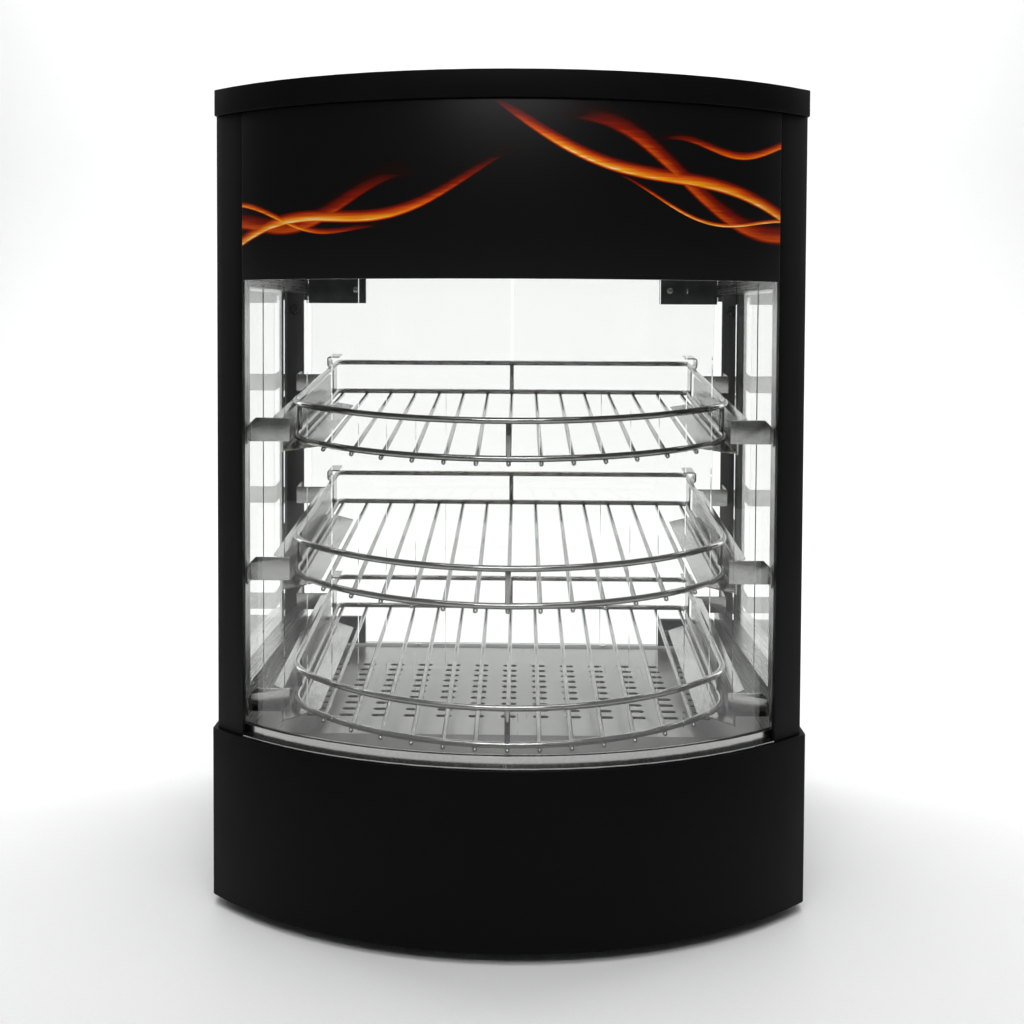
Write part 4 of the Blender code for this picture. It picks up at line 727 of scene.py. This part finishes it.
def rack_front(x):
    """How far forward the edge reaches at one place across the rack."""
    if abs(x) < bow_radius * math.sin(meeting):
        return bow_middle - math.sqrt(bow_radius**2 - x**2)
    return corner_y - math.sqrt(FRONT_CORNER**2 - (abs(x) - corner_x) ** 2)


print(len(rack_edge(0)), "points round a rack's edge")

# %% [markdown]
# The lift hooks are strips of sheet that stand on the lower rod, bend out at the upper one, then up and in
# again over it, so that two fingers can lift the rack. A strip is a flat outline with a thickness, pushed
# along its width.

# %% The lift hooks
STRIP = 1.2 * MM
HOOK_RISE = 0.010
HOOK_REACH = 0.0058
HOOK_TAB = 0.012
HOOK_WIDE = 0.025
HOOK_BEND = 0.0022
HOOK_STEPS = 5
HOOK_BACK = -0.014


def push_outline(bm, outline, start, end, place):
    """A solid between two copies of an outline. place turns (a, b, along) into a point."""
    rings = [[bm.verts.new(place(a, b, along)) for a, b in outline] for along in (start, end)]
    bm.faces.new(rings[0])
    bm.faces.new(rings[1])
    for i in range(len(outline)):
        bm.faces.new((rings[0][i - 1], rings[0][i], rings[1][i], rings[1][i - 1]))


def bent_strip(line, thick):
    """The outline of a strip that follows a line, half its thickness on each side."""
    line = [Vector(point) for point in line]
    offsets = []
    for i, point in enumerate(line):
        run = (line[min(i + 1, len(line) - 1)] - line[max(i - 1, 0)]).normalized()
        offsets.append(Vector((-run.y, run.x)) * thick / 2)
    one_side = [tuple(point + offset) for point, offset in zip(line, offsets)]
    other_side = [tuple(point - offset) for point, offset in zip(line, offsets)]
    return one_side + other_side[::-1]


def add_hooks(bm):
    """Both lift hooks, bent at three corners each."""
    outer = RACK_HALF + HOOK_REACH - STRIP / 2
    top = FENCE + HOOK_RISE - STRIP / 2
    foot = rounded_corner((RACK_HALF, FENCE), (outer, FENCE), (outer, top), HOOK_BEND, HOOK_STEPS)
    head = rounded_corner((outer, FENCE), (outer, top), (outer - HOOK_TAB, top), HOOK_BEND, HOOK_STEPS)
    knee = rounded_corner((RACK_HALF, 0), (RACK_HALF, FENCE), (outer, FENCE), HOOK_BEND, HOOK_STEPS)
    line = [(RACK_HALF, 0), *knee, *foot, *head, (outer + STRIP / 2 - HOOK_TAB, top)]
    outline = bent_strip(line, STRIP)
    for sign in SIDES.values():
        place = lambda a, b, along: (sign * a, along, b)
        push_outline(bm, outline, HOOK_BACK - HOOK_WIDE, HOOK_BACK, place)


print("hooks are", HOOK_WIDE * 1000, "mm wide")


# %% Build the three racks
def rack_mesh():
    bm = bmesh.new()
    for height in (0.0, FENCE):
        sweep_rod(bm, rack_edge(height), ROD, closed=True)
    post_y = -RACK_SIDE + POST_INSET
    for x, y in [(0, 0), (0, rack_front(0)), (-RACK_HALF, post_y), (RACK_HALF, post_y)]:
        sweep_rod(bm, [(x, y, 0), (x, y, FENCE)], FENCE_POST)
    under = WELD_SINK - ROD - WIRE
    each_way = int(RACK_HALF / WIRE_PITCH)
    for number in range(-each_way, each_way + 1):
        x = number * WIRE_PITCH
        sweep_rod(bm, [(x, rack_front(x) - WIRE_END, under), (x, WIRE, under)], WIRE)
    add_hooks(bm)
    return finished(bm)


for level, height in RACK_LEVELS.items():
    mesh = rack_mesh()
    back_edge = Matrix.Translation(case_point(0, RACK_BACK_DEPTH, height))
    mesh.transform(back_edge @ Matrix.Rotation(TILT, 4, "X"))
    add_piece(f"rack_{level}_rods", mesh, rod_stainless, f"rack_{level}", [f"rack_{level}"])
print("racks:", len(mesh.polygons), "faces each")

# %% [markdown]
# ## Screws
# The case is held by pan-head screws with a cross recess. A head is turned as a low dome, and the cross is
# cut out of it. The head is made once, and each screw is a copy of it, set on its face and turned a
# little differently, as a screwdriver leaves them.

# %% Make one screw head
HEAD = 3.4 * MM
HEAD_RISE = 1.5 * MM
HEAD_SIDES = 32
RIM = 0.35
DOME_ANGLES = (0.35, 0.7, 1.05, 1.4)
CROSS_REACH = 0.56
CROSS_WIDE = 0.13
CROSS_FLOOR = 0.35


def turned(profile):
    """A profile of (radius, height) turned about the z axis, closed at both ends."""
    bm = bmesh.new()
    rings = []
    for radius, height in profile:
        angles = [2 * math.pi * step / HEAD_SIDES for step in range(HEAD_SIDES)]
        rings.append([bm.verts.new((radius * math.cos(a), radius * math.sin(a), height)) for a in angles])
    bm.faces.new(rings[0])
    bm.faces.new(rings[-1])
    for low, high in zip(rings, rings[1:]):
        for i in range(HEAD_SIDES):
            bm.faces.new((low[i - 1], low[i], high[i], high[i - 1]))
    return finished(bm)


def box_mesh(low, high):
    """A box between two opposite corners."""
    bm = bmesh.new()
    bmesh.ops.create_cube(bm, size=1.0)
    size = Vector(high) - Vector(low)
    for vert in bm.verts:
        vert.co = Vector([low[i] + (vert.co[i] + 0.5) * size[i] for i in range(3)])
    return finished(bm)


def carved(mesh, cutters):
    """The mesh with the cutters' shapes taken out of it."""
    whole = bpy.data.objects.new("whole", mesh)
    bpy.context.scene.collection.objects.link(whole)
    tools = []
    for cutter in cutters:
        tool = bpy.data.objects.new("tool", cutter)
        bpy.context.scene.collection.objects.link(tool)
        cut = whole.modifiers.new("cut", "BOOLEAN")
        cut.operation = "DIFFERENCE"
        cut.solver = "EXACT"
        cut.object = tool
        tools.append(tool)
    graph = bpy.context.evaluated_depsgraph_get()
    result = bpy.data.meshes.new_from_object(whole.evaluated_get(graph))
    for thing in [whole, *tools]:
        bpy.data.objects.remove(thing)
    return result


dome = [(HEAD, 0.0), (HEAD, HEAD_RISE * RIM)]
dome += [(HEAD * math.cos(a), HEAD_RISE * (RIM + (1 - RIM) * math.sin(a))) for a in DOME_ANGLES]
arm = HEAD * CROSS_REACH
slim = HEAD * CROSS_WIDE
sunk = HEAD_RISE * CROSS_FLOOR
over = HEAD_RISE * 2
arms = [box_mesh((-arm, -slim, sunk), (arm, slim, over)), box_mesh((-slim, -arm, sunk), (slim, arm, over))]
screw_head = carved(turned(dome), arms)
print("a screw head has", len(screw_head.polygons), "faces")


# %% Set the screws
FRONTWARD = (0, -1, 0)
BACKWARD = (0, 1, 0)
UPWARD = (0, 0, 1)
# Places on the case, as x, depth and height
POST_SCREW_X = 0.2195
POST_DEPTH = 0.3200
POST_SCREW_HEIGHTS = (0.4644, 0.1572)
PATCH_SCREW_X = 0.158
PATCH_FRONT_DEPTH = 0.3247
PATCH_BACK_DEPTH = 0.3333
PATCH_SCREW_HEIGHTS = {"top": 0.4843, "bottom": 0.1408}
SILL_SCREW_X = 0.094
SILL_SCREW_DEPTH = 0.3330
SILL_TOP = 0.125
PANEL_INSET = 7 * MM
FIRST_TURN = 0.7
NEXT_TURN = 1.9
# Sizes of the screws, as shares of the head that was made
POST_SCREW = 1.6
PATCH_SCREW = 0.95
SILL_SCREW = 0.8
PANEL_SCREW = 0.85


def set_screws(name, places, body, size, finish=screw_steel):
    """One piece that holds several screws. Each place is (point, the way the head looks)."""
    bm = bmesh.new()
    for number, (point, way) in enumerate(places):
        turn = Matrix.Rotation(FIRST_TURN + NEXT_TURN * number, 4, "Z")
        stand = Vector(way).to_track_quat("Z", "Y").to_matrix().to_4x4()
        copy = screw_head.copy()
        copy.transform(Matrix.Translation(point) @ stand @ turn @ Matrix.Scale(size, 4))
        bm.from_mesh(copy)
        bpy.data.meshes.remove(copy)
    mesh = bpy.data.meshes.new(name)
    bm.to_mesh(mesh)
    bm.free()
    return add_piece(name, mesh, finish, body)


def back_corners(low, high):
    """Places for four screws near the corners of the back of a panel's box."""
    xs = (low.x + PANEL_INSET, high.x - PANEL_INSET)
    zs = (low.z + PANEL_INSET, high.z - PANEL_INSET)
    return [((x, high.y, z), BACKWARD) for x in xs for z in zs]


for side, sign in SIDES.items():
    x = sign * POST_SCREW_X
    on_post = [(case_point(x, POST_DEPTH, height), FRONTWARD) for height in POST_SCREW_HEIGHTS]
    set_screws(f"rear_post_screws_{side}", on_post, "case", POST_SCREW, dark_zinc)
    for end, height in PATCH_SCREW_HEIGHTS.items():
        x = sign * PATCH_SCREW_X
        on_patch = [
            (case_point(x, PATCH_FRONT_DEPTH, height), FRONTWARD),
            (case_point(x, PATCH_BACK_DEPTH, height), BACKWARD),
        ]
        set_screws(f"patch_screws_{end}_{side}", on_patch, f"door_{side}", PATCH_SCREW)
on_sill = [(case_point(sign * SILL_SCREW_X, SILL_SCREW_DEPTH, SILL_TOP), UPWARD) for sign in SIDES.values()]
set_screws("sill_screws", on_sill, "case", SILL_SCREW)
panel_low, panel_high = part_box("control_panel")
set_screws("panel_screws", back_corners(panel_low, panel_high), "case", PANEL_SCREW)
top_low, top_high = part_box("rear_top_panel")
set_screws("rear_top_panel_screws", back_corners(top_low, top_high), "case", PANEL_SCREW)
print("screws set in", sum("screws" in name for name in pieces_made), "pieces")

# %% [markdown]
# ## The stage
# The warmer stands on a pale sweep of paper that curves up behind it, so there is no horizon. A broad soft
# light hangs over the paper behind the warmer, and that bright paper, seen through the glass doors, is
# what lights up the steel inside. One soft box overhead and one high in front light the base and the
# racks, and two tall ones at the sides, a little behind the warmer, draw the edges of the posts.

# %% Build the sweep of paper
PAPER_HALF = 2.6
PAPER_FRONT = -2.4
PAPER_BACK = 1.9
PAPER_CURVE = 0.8
PAPER_HIGH = 2.6
CURVE_STEPS = 12
FIBRE = 2.5 * MM


def paper():
    finish, tree, shader = start_finish("matt_paper", Specular_IOR_Level=0.1)
    place = add_node(tree, "TexCoord").outputs
    fibre = add_node(tree, "TexNoise", {"Vector": place["Object"], "Scale": 1 / FIBRE, "Detail": 2.0})
    fleck = fibre.outputs["Fac"]
    tone = add_node(tree, "ValToRGB", {"Fac": fleck})
    tone.color_ramp.elements[0].color = linear("#f0f0f0")
    tone.color_ramp.elements[1].color = linear("#f6f6f6")
    blur = add_node(tree, "MapRange", {"Value": fleck, "To Min": 0.85, "To Max": 0.95})
    tree.links.new(tone.outputs["Color"], shader.inputs["Base Color"])
    tree.links.new(blur.outputs["Result"], shader.inputs["Roughness"])
    return finish


bm = bmesh.new()
line = [(PAPER_FRONT, 0.0), (PAPER_BACK - PAPER_CURVE, 0.0)]
for step in range(1, CURVE_STEPS + 1):
    angle = math.pi / 2 * step / CURVE_STEPS
    y = PAPER_BACK - PAPER_CURVE + PAPER_CURVE * math.sin(angle)
    line.append((y, PAPER_CURVE * (1 - math.cos(angle))))
line.append((PAPER_BACK, PAPER_HIGH))
rows = [[bm.verts.new((x, y, z)) for x in (-PAPER_HALF, PAPER_HALF)] for y, z in line]
for near, far in zip(rows, rows[1:]):
    bm.faces.new((near[0], near[1], far[1], far[0]))
sweep = bpy.data.meshes.new("paper_sweep")
bm.to_mesh(sweep)
bm.free()
sweep.shade_smooth()
sweep.materials.append(paper())
paper_sweep = bpy.data.objects.new("paper_sweep", sweep)
bpy.context.scene.collection.objects.link(paper_sweep)
print("paper", 2 * PAPER_HALF, "m wide")


# %% Hang the lights
# Each soft box: name, place, the point that it looks at, width and height, and power in watts
SOFT_BOXES = [
    ("paper_light", (0, 0.9, 2.3), (0, 1.6, 0.5), (3.4, 0.9), 47),
    ("overhead_box", (0, -0.5, 2.0), (0, 0.0, 0.3), (1.4, 1.0), 16),
    ("front_box", (0, -1.5, 1.55), (0, 0, 0.3), (0.9, 0.6), 10),
    ("left_box", (-1.7, 1.0, 0.9), (0, 0, 0.35), (0.5, 1.5), 7),
    ("right_box", (1.7, 1.0, 0.9), (0, 0, 0.35), (0.5, 1.5), 7),
]
ROOM_LIGHT = 0.10


def soft_box(name, place, aim, size, power):
    """A rectangular soft white light that looks at a point."""
    light = bpy.data.lights.new(name, "AREA")
    light.shape = "RECTANGLE"
    light.size, light.size_y = size
    light.energy = power
    holder = bpy.data.objects.new(name, light)
    holder.location = place
    holder.rotation_euler = (Vector(aim) - Vector(place)).to_track_quat("-Z", "Y").to_euler()
    bpy.context.scene.collection.objects.link(holder)


for row in SOFT_BOXES:
    soft_box(*row)
world = bpy.data.worlds.new("studio")
world.use_nodes = True
world.node_tree.nodes["Background"].inputs["Color"].default_value = linear("#eceef0")
world.node_tree.nodes["Background"].inputs["Strength"].default_value = ROOM_LIGHT
bpy.context.scene.world = world
bpy.context.scene.view_settings.view_transform = "Standard"
print(len(SOFT_BOXES), "soft boxes and a dim room")
